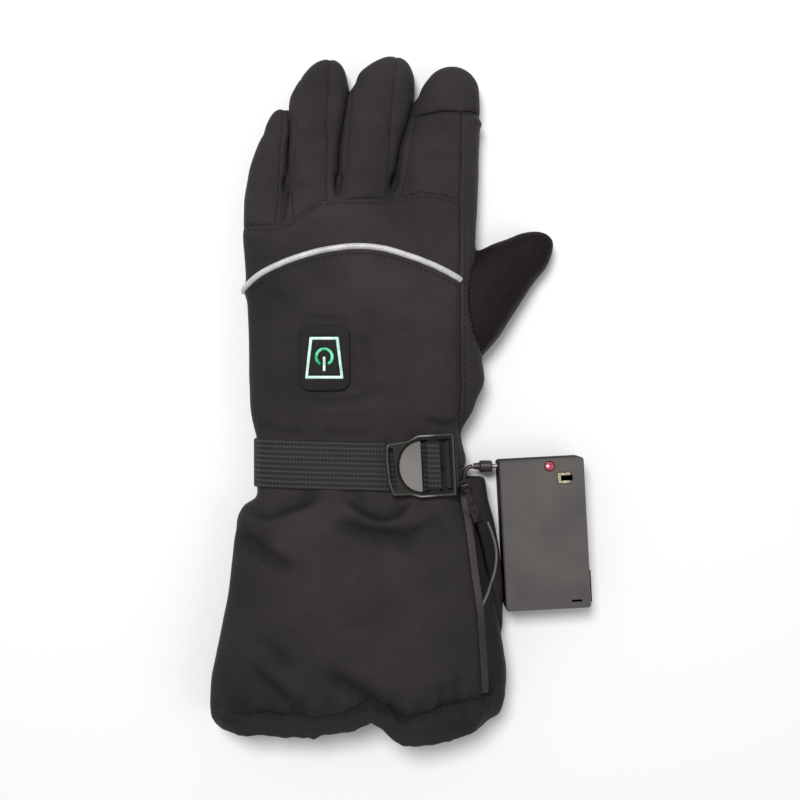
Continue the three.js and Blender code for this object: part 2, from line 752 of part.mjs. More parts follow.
// The zip's slider, with a pin across it that carries the puller
function buildSlider() {
  const { width, length, thick } = SLIDER;
  const { reach, over, pin, pinZ } = LUGS;
  const base = box([-width / 2, -length / 2, 0], [width / 2, length / 2, thick]);
  const edge = (width - LUGS.thick) / 2;
  const lugs = [-edge, edge].map((middle) => {
    const [from, to] = [middle - LUGS.thick / 2, middle + LUGS.thick / 2];
    return box([from, -reach, thick / 2], [to, reach, pinZ + over]);
  });
  const axle = rod("x", pin, -edge, edge, [0, 0, pinZ], 10);
  place("zip_slider", onSlider(union([base, ...lugs, axle])), nickel);
}

// The puller: an eye round the slider's pin, a stem that lies down the pocket, and a tab
function buildPuller() {
  const { pin, pinZ } = LUGS;
  const { eye, width, stem, tab, tabWidth, thick, drop, play } = PULLER;
  const ring = rod("x", eye, -width / 2, width / 2, [0, 0, 0], 12);
  const length = stem + tab;
  const arm = box([-width / 2, -length, -thick / 2], [width / 2, -eye * 0.6, thick / 2]);
  const grip = box([-tabWidth / 2, -length, -thick / 2 - 0.2], [tabWidth / 2, -stem, thick / 2 + 0.2]);
  const whole = union([ring, arm, grip]).subtract(rod("x", pin + play, -width, width, [0, 0, 0], 10));
  place("zip_puller", onSlider(whole.rotate([drop, 0, 0]).translate([0, 0, pinZ])), nickel);
}

function leadCurve() {
  const points = LEAD_ROUTE.map(([x, y]) => new THREE.Vector3(x, y, LEAD.level));
  return new THREE.CatmullRomCurve3(points, false, "centripetal");
}

function buildLead() {
  const section = new THREE.Shape();
  section.absarc(0, 0, LEAD.radius, 0, 2 * Math.PI);
  const route = { steps: LEAD.steps, extrudePath: leadCurve(), bevelEnabled: false };
  const swept = new THREE.ExtrudeGeometry(section, { ...route, curveSegments: LEAD.sides / 2 });
  place("lead", solidOf(swept), pvc);
  const [x, y] = LEAD_ROUTE[0];
  const gland = rod("x", GLAND.radius, 0, GLAND.length, [0, 0, 0], 10).rotate([0, 0, -90]);
  place("lead_gland", gland.translate([x, y - GAP, LEAD.level]), rubber);
}

function buildPlug() {
  const { y, tail, body: start, end, radius, neck, barrel, reach } = PLUG;
  const profile = [
    [0, tail],
    [neck - 0.4, tail],
    [neck, start],
    [radius - 0.6, start],
    [radius, start + 0.8],
    [radius, end - 0.6],
    [radius - 0.6, end],
    [0, end],
  ];
  const turned = new THREE.LatheGeometry(profile.map((point) => new THREE.Vector2(...point)), 14);
  place("plug", solidOf(turned.rotateZ(-Math.PI / 2).translate(0, y, LEAD.level)), pvc);
  place("plug_barrel", rod("x", barrel, end + GAP, reach, [0, y, LEAD.level], 12), nickel);
}

// Something on the battery case, in the case's own place
function onCase(solid) {
  return solid.rotate([0, 0, CASE.turn]).translate([CASE.x, CASE.y, 0]);
}

function buildCase() {
  const { width, length, height, wall } = CASE;
  const { corner, edge, inside } = CASE_EDGE;
  const bevel = { bevelThickness: edge, bevelSize: edge, bevelSegments: 1, curveSegments: 2 };
  const face = roundedShape(width - 2 * edge, length - 2 * edge, corner - edge);
  const block = new THREE.ExtrudeGeometry(face, { ...bevel, depth: height - 2 * edge });
  const outer = solidOf(block.translate(0, 0, edge));
  const room = roundedShape(width - 2 * wall, length - 2 * wall, inside);
  const inner = solidOf(plate(room, height - 2 * wall, 2));
  const socket = rod("x", PLUG.barrel + 0.4, PLUG.end, PLUG.reach + 1, [0, PLUG.y, LEAD.level]);
  const whole = onCase(outer.subtract(inner.translate([0, 0, wall]))).subtract(socket);
  const split = height / 2;
  const upper = whole.intersect(box([-FAR, -FAR, split + half], [FAR, FAR, SKY]));
  const lower = whole.intersect(box([-FAR, -FAR, -SKY], [FAR, FAR, split - half]));

  const ledHole = rod("z", LED.radius + GAP, height - 2 * wall, SKY, [LED.x, LED.y, 0], 20);
  const portHole = rectangle(PORT, GAP, height - 2 * wall).add(rectangle(PORT_MOUTH, 0, height - 2 * wall));
  const slotHole = rectangle(SLOT, 0, height - 2 * wall);
  place("case_front", upper.subtract(onCase(union([ledHole, portHole, slotHole]))), abs);
  place("case_back", lower, abs);
  const led = rod("z", LED.radius, height - wall, height + LED.proud, [LED.x, LED.y, 0], 20);
  place("case_led", onCase(led), lens);
  const rim = rectangle(PORT, 0, height - wall, height + PORT.proud);
  const frame = rim.subtract(rectangle(PORT_MOUTH, 0, 0));
  place("port_frame", onCase(frame), nickel);
  const side = width / 2 + GAP;
  const bump = box([side, CATCH.from, CATCH.low], [side + CATCH.proud, CATCH.to, CATCH.high]);
  place("case_catch", onCase(bump), abs);
}

// An upright block over a rectangle on the case's face, grown on each side.
function rectangle({ x, y, width, length }, grow, low, high = SKY) {
  const [w, l] = [width / 2 + grow, length / 2 + grow];
  return box([x - w, y - l, low], [x + w, y + l, high]);
}

buildFingers();
buildHand();
buildThumb();
buildButton();
buildCuff();
buildPocket();
buildZip();
buildStrap();
buildBuckle();
buildSlider();
buildPuller();
buildLead();
buildPlug();
buildCase();

export default root;
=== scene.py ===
"""Looks for the heated motorcycle glove and its battery case, lying palm down on a pale table."""

import math

import bmesh
import bpy
import numpy as np
from mathutils import Matrix, Vector, kdtree, noise
from mathutils.bvhtree import BVHTree


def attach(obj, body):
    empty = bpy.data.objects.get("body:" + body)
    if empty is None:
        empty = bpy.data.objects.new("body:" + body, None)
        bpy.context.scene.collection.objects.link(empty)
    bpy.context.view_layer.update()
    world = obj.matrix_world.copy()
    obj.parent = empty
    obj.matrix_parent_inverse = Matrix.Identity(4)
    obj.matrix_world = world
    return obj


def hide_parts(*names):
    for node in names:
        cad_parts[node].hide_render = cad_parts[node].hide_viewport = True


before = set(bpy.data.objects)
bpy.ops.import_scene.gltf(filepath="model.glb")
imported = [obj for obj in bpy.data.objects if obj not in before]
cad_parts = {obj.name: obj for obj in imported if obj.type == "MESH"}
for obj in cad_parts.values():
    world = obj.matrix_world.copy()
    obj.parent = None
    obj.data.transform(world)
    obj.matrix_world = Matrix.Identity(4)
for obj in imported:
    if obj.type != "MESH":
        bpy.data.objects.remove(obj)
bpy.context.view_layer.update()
MM = 0.001


# Camera: straight above, as in the photograph

CAMERA_HEIGHT = 550 * MM
SENSOR_WIDTH = 36
LENS = SENSOR_WIDTH * 538 / 400  # the level that is 538 mm below the lens shows 400 mm across

camera_data = bpy.data.cameras.new("camera")
camera_data.sensor_width = SENSOR_WIDTH
camera_data.lens = LENS
camera_data.clip_start = 0.01
camera = bpy.data.objects.new("camera", camera_data)
camera.location = (-0.5 * MM, 0, CAMERA_HEIGHT)
bpy.context.scene.collection.objects.link(camera)
bpy.context.scene.camera = camera


# Materials

SEAM_REACH = 3.0  # mm over which a panel's attribute "seam" falls from 1 to 0
SHADOW = "#0c0a0b"  # the colour of seam lines, and of the painted shade in creases and recesses

# The buckle's own frame in mm and degrees, and what the eye picks out on it
BUCKLE_PLACE = (14.2, -31.7, 29.3)
BUCKLE_TURN, BUCKLE_TILT = 3, 10.5
DISC_PLACE = -5.2  # the half disc's middle, along the buckle
DISC_HALVES = (10.6, 12)  # its half length and half width
SHOULDER = 11.3  # where the rails' shoulders are, along X


def linear(code):
    """A colour written as sRGB hex, as linear values with full opacity."""
    shares = [int(code[i:i + 2], 16) / 255 for i in (1, 3, 5)]
    return tuple(c / 12.92 if c <= 0.04045 else ((c + 0.055) / 1.055) ** 2.4 for c in shares) + (1.0,)


def blank(name):
    """A new material with only its Principled shader."""
    look = bpy.data.materials.new(name)
    look.use_nodes = True
    return look


def feed(node, inputs):
    """Links each input that is given a socket, and sets the others."""
    for name, value in inputs.items():
        if isinstance(value, bpy.types.NodeSocket):
            node.id_data.links.new(value, node.inputs[name])
        else:
            node.inputs[name].default_value = value


def add(look, kind, inputs=None, output=None, **settings):
    """Adds a shader node with its settings and inputs, and gives the named output or the first in use."""
    node = look.node_tree.nodes.new("ShaderNode" + kind)
    for name, value in settings.items():
        setattr(node, name, value)
    feed(node, inputs or {})
    return node.outputs[output] if output else next(socket for socket in node.outputs if socket.enabled)


def stretch(value, low, high, start=0, end=1):
    """A Map Range node's inputs, which stretch low to high over start to end."""
    return {"Value": value, "From Min": low, "From Max": high, "To Min": start, "To Max": end}


def finished(look, share, low, high, inputs, covers=()):
    """The material in a colour from low to high by share, with each cover's colour laid over it by its own
    share, once its shader's other inputs are linked or set."""
    colour = add(look, "Mix", {"Factor": share, "A": linear(low), "B": linear(high)}, data_type="RGBA")
    for cover, shade in covers:
        colour = add(look, "Mix", {"Factor": cover, "A": colour, "B": linear(shade)}, data_type="RGBA")
    feed(look.node_tree.nodes["Principled BSDF"], {"Base Color": colour, **inputs})
    return look


def grains(size):
    """The Noise or Voronoi texture's scale that makes its grains that many mm wide."""
    return 1 / (size * MM)


def bands(spacing):
    """The Wave texture's scale that puts one band in that many mm."""
    return math.pi / (10 * spacing * MM)


def woven(look, place, spacing):
    """Height of a plain weave with that thread spacing in mm, drawn on a plane that leans into the height,
    so that sides show it too."""
    lean = add(look, "Mapping", {"Vector": place, "Rotation": (0.62, 0.71, 0.12)})
    threads = {"Vector": lean, "Scale": bands(spacing)}
    warp = add(look, "TexWave", threads, "Fac", bands_direction="X")
    weft = add(look, "TexWave", threads, "Fac", bands_direction="Y")
    return add(look, "Math", {0: warp, 1: weft}, operation="MULTIPLY")


def seam_lines_and_painted_shade(look):
    """Dark covers: a line 0.8 mm wide where two panels meet, and the painted shade in creases, on flanks
    and in recesses. They come from the panel's own attributes, "seam" and the one that holds the painted
    shade."""
    near = add(look, "Attribute", output="Fac", attribute_name="seam")
    painted_shade = add(look, "Attribute", output="Fac", attribute_name="painted_shade")
    line = add(look, "MapRange", stretch(near, 1 - 0.75 / SEAM_REACH, 1 - 0.2 / SEAM_REACH))
    # Painted shade, up to 0.72 of the way to SHADOW
    closed = add(look, "MapRange", stretch(painted_shade, 0, 1, 0, 0.72))
    return [(line, SHADOW), (closed, SHADOW)]


def softshell(name, low, high, rough=0.82):
    """Woven polyester softshell over wadding: matt, with a soft sheen at grazing angles, and lighter where
    it is rubbed. Real threads are 0.25 mm apart, and are drawn 0.7 mm apart, the finest that shows."""
    look = blank(name)
    place = add(look, "TexCoord", output="Object")
    weave = woven(look, place, 0.7)
    rubbed = add(look, "TexNoise", {"Vector": place, "Scale": grains(35.7), "Detail": 3, "Roughness": 0.6})
    slub = add(look, "TexNoise", {"Vector": place, "Scale": grains(1.111), "Detail": 2, "Roughness": 0.7})
    worn = add(look, "MapRange", stretch(rubbed, 0.35, 0.68))
    fleck = add(look, "MapRange", stretch(slub, 0.3, 0.7))
    share = add(look, "Math", {0: worn, 1: 0.55}, operation="MULTIPLY")
    share = add(look, "Math", {0: fleck, 1: 0.25, 2: share}, operation="MULTIPLY_ADD")
    share = add(look, "Math", {0: weave, 1: 0.2, 2: share}, operation="MULTIPLY_ADD")
    height = add(look, "Math", {0: slub, 1: 0.5, 2: weave}, operation="MULTIPLY_ADD")
    return finished(look, share, low, high, {
        "Roughness": rough, "Specular IOR Level": 0.25,
        "Sheen Weight": 0.12, "Sheen Roughness": 0.45, "Sheen Tint": linear("#8a8386"),
        "Normal": add(look, "Bump", {"Height": height, "Distance": 0.12 * MM, "Strength": 0.7}),
    }, seam_lines_and_painted_shade(look))


def coated_leather(name, low, high):
    """Embossed polyurethane leather: pebbles 0.9 mm across, with a low satin gloss on top of them."""
    look = blank(name)
    place = add(look, "TexCoord", output="Object")
    pebble = add(look, "TexVoronoi", {"Vector": place, "Scale": grains(0.909)}, feature="SMOOTH_F1")
    cloudy = add(look, "TexNoise", {"Vector": place, "Scale": grains(28.57), "Detail": 4})
    grain = add(look, "MapRange", stretch(pebble, 0.1, 0.75))
    share = add(look, "Math", {0: cloudy, 1: grain}, operation="MULTIPLY")
    height = add(look, "Math", {0: 1.0, 1: grain}, operation="SUBTRACT")
    return finished(look, share, high, low, {
        "Roughness": add(look, "MapRange", stretch(grain, 0, 1, 0.5, 0.72)), "Specular IOR Level": 0.12,
        "Normal": add(look, "Bump", {"Height": height, "Distance": 0.12 * MM}),
    }, seam_lines_and_painted_shade(look))


def moulded(name, low, high, rough, grain=0.5, fine=0.03, specular=0.5):
    """Moulded plastic or rubber: a spark-eroded grain of that many mm, fine mm deep, with slow changes of
    tone from handling, 25 mm across."""
    look = blank(name)
    place = add(look, "TexCoord", output="Object")
    handled = add(look, "TexNoise", {"Vector": place, "Scale": grains(25), "Detail": 3})
    texture = add(look, "TexNoise", {"Vector": place, "Scale": grains(grain), "Detail": 2})
    share = add(look, "MapRange", stretch(handled, 0.3, 0.7))
    gloss = add(look, "MapRange", stretch(share, 0, 1, rough - 0.06, rough + 0.06))
    return finished(look, share, low, high, {
        "Roughness": gloss, "Specular IOR Level": specular,
        "Normal": add(look, "Bump", {"Height": texture, "Distance": fine * MM}),
    })


def buckle_plastic(name):
    """Glossy acetal, olive-grey on its free end, with a painted shadow line 1 mm wide round its half disc.
    """
    look = blank(name)
    place = add(look, "TexCoord", output="Object")
    turns = (0, math.radians(BUCKLE_TILT), math.radians(BUCKLE_TURN))
    own_frame = {"Vector": place, "Location": Vector(BUCKLE_PLACE) * MM, "Rotation": turns}
    local = add(look, "Mapping", own_frame, vector_type="TEXTURE")
    along = add(look, "SeparateXYZ", {"Vector": local}, "X")
    free_end = add(look, "MapRange", stretch(along, -5.6 * MM, -6.4 * MM))
    to_disc = {"Location": (-DISC_PLACE / DISC_HALVES[0], 0, 0), "Scale": (*map(grains, DISC_HALVES), 0)}
    from_middle = add(look, "Mapping", {"Vector": local, **to_disc})
    reach = add(look, "VectorMath", {0: from_middle}, operation="LENGTH")
    # A painted shadow line round the raised half disc
    ring = add(look, "MapRange", stretch(reach, 1.09, 1.12, 1, 0))
    texture = add(look, "TexNoise", {"Vector": place, "Scale": grains(1.111), "Detail": 2})
    return finished(look, free_end, "#161314", "#2b2823", {
        "Roughness": 0.25, "Specular IOR Level": 0.3,
        "Normal": add(look, "Bump", {"Height": texture, "Distance": 0.02 * MM}),
    }, [(ring, "#100e0e")])


def acetal_with_painted_highlight(name):
    """Acetal on a raised edge, painted pale as highlights, palest at the rails' shoulders beside the half
    disc.
    """
    look = blank(name)
    place = add(look, "TexCoord", output="Object")
    across = add(look, "SeparateXYZ", {"Vector": place}, "X")
    off = add(look, "Math", {0: across, 1: SHOULDER * MM}, operation="SUBTRACT")
    off = add(look, "Math", {0: off}, operation="ABSOLUTE")
    shoulder = add(look, "MapRange", stretch(off, 6 * MM, 1.5 * MM))
    marks = add(look, "TexNoise", {"Vector": place, "Scale": grains(6.25), "Detail": 3})
    share = add(look, "Math", {0: marks, 1: 0.45, 2: shoulder}, operation="MULTIPLY_ADD")
    share = add(look, "MapRange", stretch(share, 0.1, 1.3))
    return finished(look, share, "#383536", "#989495", {
        "Roughness": 0.22, "Specular IOR Level": 0.5,
        "Normal": add(look, "Bump", {"Height": marks, "Distance": 0.03 * MM}),
    })


def plated(name, low, high, rough):
    """Plated or polished metal, with handling marks 2 mm across in its gloss."""
    look = blank(name)
    place = add(look, "TexCoord", output="Object")
    marks = add(look, "TexNoise", {"Vector": place, "Scale": grains(2), "Detail": 4})
    share = add(look, "MapRange", stretch(marks, 0.3, 0.7))
    gloss = add(look, "MapRange", stretch(share, 0, 1, rough - 0.08, rough + 0.12))
    return finished(look, share, low, high, {"Metallic": 1.0, "Roughness": gloss})


def bead_tape(name):
    """Retroreflective tape over cord: light grey, with glass beads that glitter a little. Real beads are
    0.05 mm across, and are drawn 0.35 mm across, which is the finest that shows."""
    look = blank(name)
    place = add(look, "TexCoord", output="Object")
    bead = add(look, "TexVoronoi", {"Vector": place, "Scale": grains(0.3448)})
    cloudy = add(look, "TexNoise", {"Vector": place, "Scale": grains(8.333), "Detail": 3})
    share = add(look, "Math", {0: bead, 1: cloudy}, operation="MULTIPLY")
    share = add(look, "MapRange", stretch(share, 0.05, 0.4))
    return finished(look, share, "#e6e4e6", "#adaab0", {
        "Roughness": 0.38, "Specular IOR Level": 0.6,
        "Normal": add(look, "Bump", {"Height": bead, "Distance": 0.05 * MM, "Strength": 0.6}),
    })


def glowing(name, base, light, strength):
    """A light guide or diffused lens, lit from below, and a little uneven over every 4 mm."""
    look = blank(name)
    place = add(look, "TexCoord", output="Object")
    uneven = add(look, "TexNoise", {"Vector": place, "Scale": grains(3.846), "Detail": 2})
    share = add(look, "MapRange", stretch(uneven, 0.35, 0.65))
    shine = add(look, "Mix", {"Factor": share, "A": linear(base), "B": linear(light)}, data_type="RGBA")
    emission = {"Emission Color": shine, "Emission Strength": strength}
    return finished(look, share, base, light, {"Roughness": 0.3, **emission})


def ribbed_webbing(name, low, high):
    """Polyester ladder webbing: lighter cords along it 2.4 mm apart, that show as ticks 1.65 mm apart
    between its cross ribs. Its own attribute "thread" is the way along it and across it in metres."""
    look = blank(name)
    place = add(look, "TexCoord", output="Object")
    thread = add(look, "Attribute", output="Vector", attribute_name="thread")
    rib = add(look, "TexWave", {"Vector": thread, "Scale": bands(1.65)}, "Fac", bands_direction="X")
    cords = add(look, "TexWave", {"Vector": thread, "Scale": bands(2.4)}, "Fac", bands_direction="Y")
    hairs = add(look, "TexNoise", {"Vector": place, "Scale": grains(0.909), "Detail": 2})
    row = add(look, "MapRange", stretch(cords, 0.5, 0.95))
    tick = add(look, "MapRange", stretch(rib, 0.2, 0.8, 0.25))
    height = add(look, "Math", {0: row, 1: tick}, operation="MULTIPLY")
    height = add(look, "Math", {0: hairs, 1: 0.25, 2: height}, operation="MULTIPLY_ADD")
    share = add(look, "MapRange", stretch(height, 0.08, 1.1))
    return finished(look, share, low, high, {
        "Roughness": 0.72, "Specular IOR Level": 0.35, "Sheen Weight": 0.04, "Sheen Roughness": 0.5,
        "Normal": add(look, "Bump", {"Height": height, "Distance": 0.35 * MM}),
    })


# Woven softshell is matt charcoal; a darker copy of it, which is painted shade, covers the cuff's side
# panel and the pocket
CLOTH = softshell("softshell_cloth", "#242022", "#393435")
SHADED_CLOTH_COPY = softshell("softshell_painted_shade_copy", "#1b1718", "#2a2527")
# Coated leather is near black, and only its pebbles catch the light
LEATHER = coated_leather("polyurethane_leather", "#110c0e", "#1e171a")
# Ladder webbing has rows of pale ticks on a dark ground
WEBBING = ribbed_webbing("polyester_ladder_webbing", "#191617", "#4b4748")
# The zip's twill tape is greyer than the cloth, and flat; the pocket's edge binding is flat too, and
# painted pale as a highlight along its edge
ZIP_TAPE = softshell("zip_flap_tape", "#373332", "#4a4644", 0.7)
POCKET_EDGE_PAINTED_HIGHLIGHT = softshell("pocket_edge_binding_painted_highlight", "#5a5657", "#767273", 0.6)
# Glass beads make the piping the brightest line on the glove
PIPING_TAPE = bead_tape("retroreflective_piping_tape")
# Moulded silicone is black and dull, and its light guides glow white and green
RUBBER = moulded("silicone_button_rubber", "#1b1718", "#252122", 0.7, grain=0.4, specular=0.2)
MARK_WHITE = glowing("button_light_guide_white", "#9fcdb8", "#cfeadb", 0.35)
MARK_GREEN = glowing("button_light_guide_green", "#15935f", "#6fd6a9", 0.3)
# Acetal is glossy and black: its plate is painted grey as a painted reflection, its raised rim is painted
# pale as highlights, and a painted shadow rings its half disc
BLACK_PLASTIC = buckle_plastic("glossy_acetal_with_painted_shadow")
PLATE_PAINTED_REFLECTION = moulded("acetal_plate_painted_reflection", "#6a6662", "#7e7a75", 0.3, grain=1.2, fine=0.01)
RIM_PAINTED_HIGHLIGHT = acetal_with_painted_highlight("acetal_rim_painted_highlight")
# Textured black ABS: the case's face is painted satin grey as a painted reflection of the light above, and
# its walls and back are painted near black as shade, and give back next to no light
CASE_PAINTED_REFLECTION = moulded("abs_case_face_painted_reflection", "#4a4646", "#56524f", 0.42, grain=0.35, fine=0.03)
CASE_PAINTED_SHADE = moulded("abs_case_painted_shade", "#090808", "#100e0f", 0.6, grain=0.35, specular=0.04)
# Soft PVC is smooth, with a purple cast
PVC = moulded("pvc_lead_and_plug", "#2b2125", "#3f3337", 0.4, grain=0.6)
# Blackened zinc has a dull glint, nickel a clear one, and flashed gold a pale yellow one
GUNMETAL = plated("blackened_zinc_slider", "#262324", "#3d393a", 0.46)
NICKEL = plated("nickel_plated_brass", "#bdb9b2", "#dcd8d0", 0.22)
GOLD = plated("gold_flashed_port", "#b8ae8c", "#d6cfb0", 0.35)
# A diffused red lens is deep pink, with a painted highlight, almost white, left of its middle
LED_LENS = glowing("red_led_lens", "#8a2237", "#ab4358", 0.3)
LED_PAINTED_HIGHLIGHT = glowing("red_led_painted_highlight", "#f58da2", "#ffe6ea", 0.8)
# Bonded thread is smooth and a little glossier than the cloth it lies on
THREAD = moulded("bonded_polyester_thread", "#1e1a1c", "#2e2a2c", 0.7, grain=0.3, fine=0.05, specular=0.2)


# Meshes

def publish(name, mesh, material, slot, nodes=(), body="glove"):
    """Makes the piece: its material, its body and the CAD nodes that it stands for. Its slot is not used.
    """
    piece = bpy.data.objects.new(name, mesh)
    bpy.context.scene.collection.objects.link(piece)
    mesh.materials.clear()
    mesh.materials.append(material)
    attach(piece, body)
    if nodes:
        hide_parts(*nodes)
    return piece


def merged(nodes):
    """The CAD nodes' meshes copied into one bmesh, with their loose triangles joined."""
    copy = bmesh.new()
    for node in nodes:
        copy.from_mesh(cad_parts[node].data)
    bmesh.ops.remove_doubles(copy, verts=copy.verts, dist=0.001 * MM)
    return copy


def settled(source, name):
    """The bmesh as a plain mesh, and the bmesh freed."""
    mesh = bpy.data.meshes.new(name)
    source.to_mesh(mesh)
    source.free()
    return mesh


def applied(data, *modifiers):
    """The mesh that a mesh or curve gives after these modifiers, each a kind and its settings."""
    holder = bpy.data.objects.new("holder", data)
    bpy.context.scene.collection.objects.link(holder)
    for kind, settings in modifiers:
        modifier = holder.modifiers.new(kind.lower(), kind)
        for key, value in settings.items():
            setattr(modifier, key, value)
    result = bpy.data.meshes.new_from_object(holder.evaluated_get(bpy.context.evaluated_depsgraph_get()))
    bpy.data.objects.remove(holder)
    return result


def rows_of(items, name, size, kind):
    """One property of a mesh's vertices, edges or loops, as a row of that size for each."""
    values = np.empty(len(items) * size, kind)
    items.foreach_get(name, values)
    return values.reshape(-1, size)


def points_of(mesh):
    return rows_of(mesh.vertices, "co", 3, np.float32).astype(float)


def set_points(mesh, points):
    mesh.vertices.foreach_set("co", points.astype(np.float32).ravel())
    mesh.update()


def normals_of(mesh):
    return rows_of(mesh.vertex_normals, "vector", 3, np.float32).astype(float)


def edges_of(mesh):
    return rows_of(mesh.edges, "vertices", 2, np.int32)


def faces_of(mesh):
    """The corners of a mesh that has quads alone."""
    return rows_of(mesh.loops, "vertex_index", 1, np.int32).reshape(-1, 4)


def give(mesh, name, values):
    """Gives each point of a mesh a number, which its material reads by that name."""
    mesh.attributes.new(name, "FLOAT", "POINT").data.foreach_set("value", values.astype(np.float32))


def relaxed(points, edges, rounds, amount):
    """Laplacian smoothing, where amount is one share or one for each point."""
    count = np.bincount(edges.ravel(), minlength=len(points))[:, None]
    amount = amount * (count > 0)
    count = count.clip(1)
    for _ in range(rounds):
        total = np.empty_like(points)
        for axis in range(3):
            total[:, axis] = np.bincount(edges[:, 0], points[edges[:, 1], axis], len(points))
            total[:, axis] += np.bincount(edges[:, 1], points[edges[:, 0], axis], len(points))
        points = points + (total / count - points) * amount
    return points


def softened(name, node, material, slot, voxel, rounds, grow=0.0):
    """A soft or moulded copy of a CAD node: remeshed with voxels of that many mm, smoothed, and grown a
    little."""
    mesh = applied(settled(merged([node]), name), ("REMESH", {"mode": "VOXEL", "voxel_size": voxel * MM}))
    set_points(mesh, relaxed(points_of(mesh), edges_of(mesh), rounds, 0.5))
    set_points(mesh, points_of(mesh) + normals_of(mesh) * grow * MM)
    mesh.shade_smooth()
    return publish(name, mesh, material, slot, [node])


def crisp(name, node, material, slot, width, segments=3, body="glove"):
    """A moulded or cast copy of a CAD node: flat faces joined, and the edges rounded by that many mm."""
    copy = merged([node])
    bmesh.ops.dissolve_limit(copy, angle_limit=math.radians(1), verts=copy.verts, edges=copy.edges)
    bevel = {"width": width * MM, "segments": segments, "limit_method": "ANGLE",
             "angle_limit": math.radians(28), "use_clamp_overlap": True, "harden_normals": False}
    mesh = applied(settled(copy, name), ("BEVEL", bevel))
    mesh.shade_smooth()
    mesh.set_sharp_from_angle(angle=math.radians(34))
    mesh = applied(mesh, ("WEIGHTED_NORMAL", {"weight": 100, "keep_sharp": True}))
    return publish(name, mesh, material, slot, [node], body)


def threaded(piece, turn, origin, wrap):
    """Gives a webbing its attribute "thread": along it and across it, in a frame turned about its origin.
    Left of wrap, where it goes down the glove's side, the drop counts as way along it."""
    points = points_of(piece.data) / MM - origin
    c, s = math.cos(math.radians(turn)), math.sin(math.radians(turn))
    along, across = points[:, 0] * c + points[:, 1] * s, points[:, 1] * c - points[:, 0] * s
    along -= np.maximum(-points[:, 2], 0) * (along < wrap)
    values = np.stack([along, across, np.zeros(len(points))], 1) * MM
    piece.data.attributes.new("thread", "FLOAT_VECTOR", "POINT").data.foreach_set("vector", values.ravel())


def round_line(name, points, radius, sides):
    """A round curve along points in metres."""
    curve = bpy.data.curves.new(name, "CURVE")
    curve.dimensions = "3D"
    curve.bevel_depth = radius
    curve.bevel_resolution = sides
    line = curve.splines.new("POLY")
    line.points.add(len(points) - 1)
    for target, point in zip(line.points, points):
        target.co = (*point, 1)
    return curve


def curve_mesh(name, points, radius, sides=6, closed=False):
    """A round tube along points, with closed ends, as a mesh."""
    curve = round_line(name, points, radius, sides)
    curve.use_fill_caps = True
    curve.splines[0].use_cyclic_u = closed
    mesh = applied(curve)
    mesh.shade_smooth()
    return mesh


def centripetal(points, steps):
    """A smooth curve through points, with that many steps to a span."""
    points = [Vector(point) for point in points]
    ends = [points[0] * 2 - points[1], *points, points[-1] * 2 - points[-2]]
    found = []
    for a, b, c, d in zip(ends, ends[1:], ends[2:], ends[3:]):
        knots = [0.0]
        for p, q in ((a, b), (b, c), (c, d)):
            knots.append(knots[-1] + math.sqrt((q - p).length))
        first, start, end, last = knots
        rows = [[(first, start), (start, end), (end, last)], [(first, end), (start, last)], [(start, end)]]
        for step in range(steps):
            at = start + (end - start) * step / steps
            level = [a, b, c, d]
            for row in rows:
                pairs = zip(level, level[1:], row)
                level = [p.lerp(q, (at - low) / (high - low)) for p, q, (low, high) in pairs]
            found.append(level[0])
    return [*found, points[-1]]


# The lead, from the pocket to its plug

LEAD_LEVEL = 10  # mm above the table
LEAD_ROUTE = [
    (43.5, -70), (43.3, -66), (41.3, -60), (37.4, -53), (34, -47),
    (32, -42), (31.6, -38), (32.6, -35.2), (34, -33.8), (36, -33.2),
]
LEAD_WIDTH = 2.2 * MM

lead_points = centripetal([(x * MM, y * MM, LEAD_LEVEL * MM) for x, y in LEAD_ROUTE], 3)
lead_curve = round_line("lead_cord", lead_points, LEAD_WIDTH / 2, 4)
lead_cord = bpy.data.objects.new("lead_cord", lead_curve)
bpy.context.scene.collection.objects.link(lead_cord)
lead_curve.materials.append(PVC)
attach(lead_cord, "glove")
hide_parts("lead")


# The glove's skin

SKIN_NODES = [
    "palm", "pinky_back", "ring_back", "middle_back", "index_back", "index_tip_cap",
    "fourchette_pinky_ring", "fourchette_ring_middle", "fourchette_middle_index", "index_side",
    "knuckle_band", "back_hand", "thumb_back", "thumb_palm",
    "cuff_palm", "cuff_back", "cuff_side", "hem_band",
]

# In mm, but for the rounds
VOXEL = 1.15
GROW = 0.2  # closes the seams' gaps for the remesh
WALL = 2.3  # cloth, wadding and lining
SPREAD = 2.6  # how far neighbouring fingers are held apart while they are remeshed
CROTCH = (112.0, 120.0)  # between these levels the spread sets in
SMOOTHING = 34  # rounds, which take out the voxels' steps
RIM_FADE = 9  # over which smoothing fades towards the hem's edge
GAP_TOPS = [147.5, 157.0, 151.0]  # how far up neighbouring fingers touch
PRESS = {"reach": 7.0, "power": 1.7, "slack": 3.0, "close": 0.75}
# Lines between the fingers: how far up, and how far across
FINGER_GAPS = [
    [(78, -56.3), (100, -56.2), (126, -55.9), (165, -55.4)],
    [(78, -31.4), (100, -31.2), (125, -30.5), (150, -26.7), (176, -21.5)],
    [(78, -4.5), (100, -4.4), (125, -0.7), (150, 6.6), (176, 12)],
]
# The hem's edge: place along it, and height above RIM_LEVEL
RIM = [
    (-96, 1.5), (-89, -1.5), (-77, -4.5), (-62, -6.5), (-43, -7.2), (-27, -4.3), (-16, -0.5), (-11, 1.4),
    (-6, -2.9), (2, -8.2), (13.5, -9.2), (25, -7.6), (37, -3), (45.5, 2.5), (54, 8),
]
RIM_LEVEL = -157
CUFF_MIDDLE = np.array([-20, 0, 16.0])
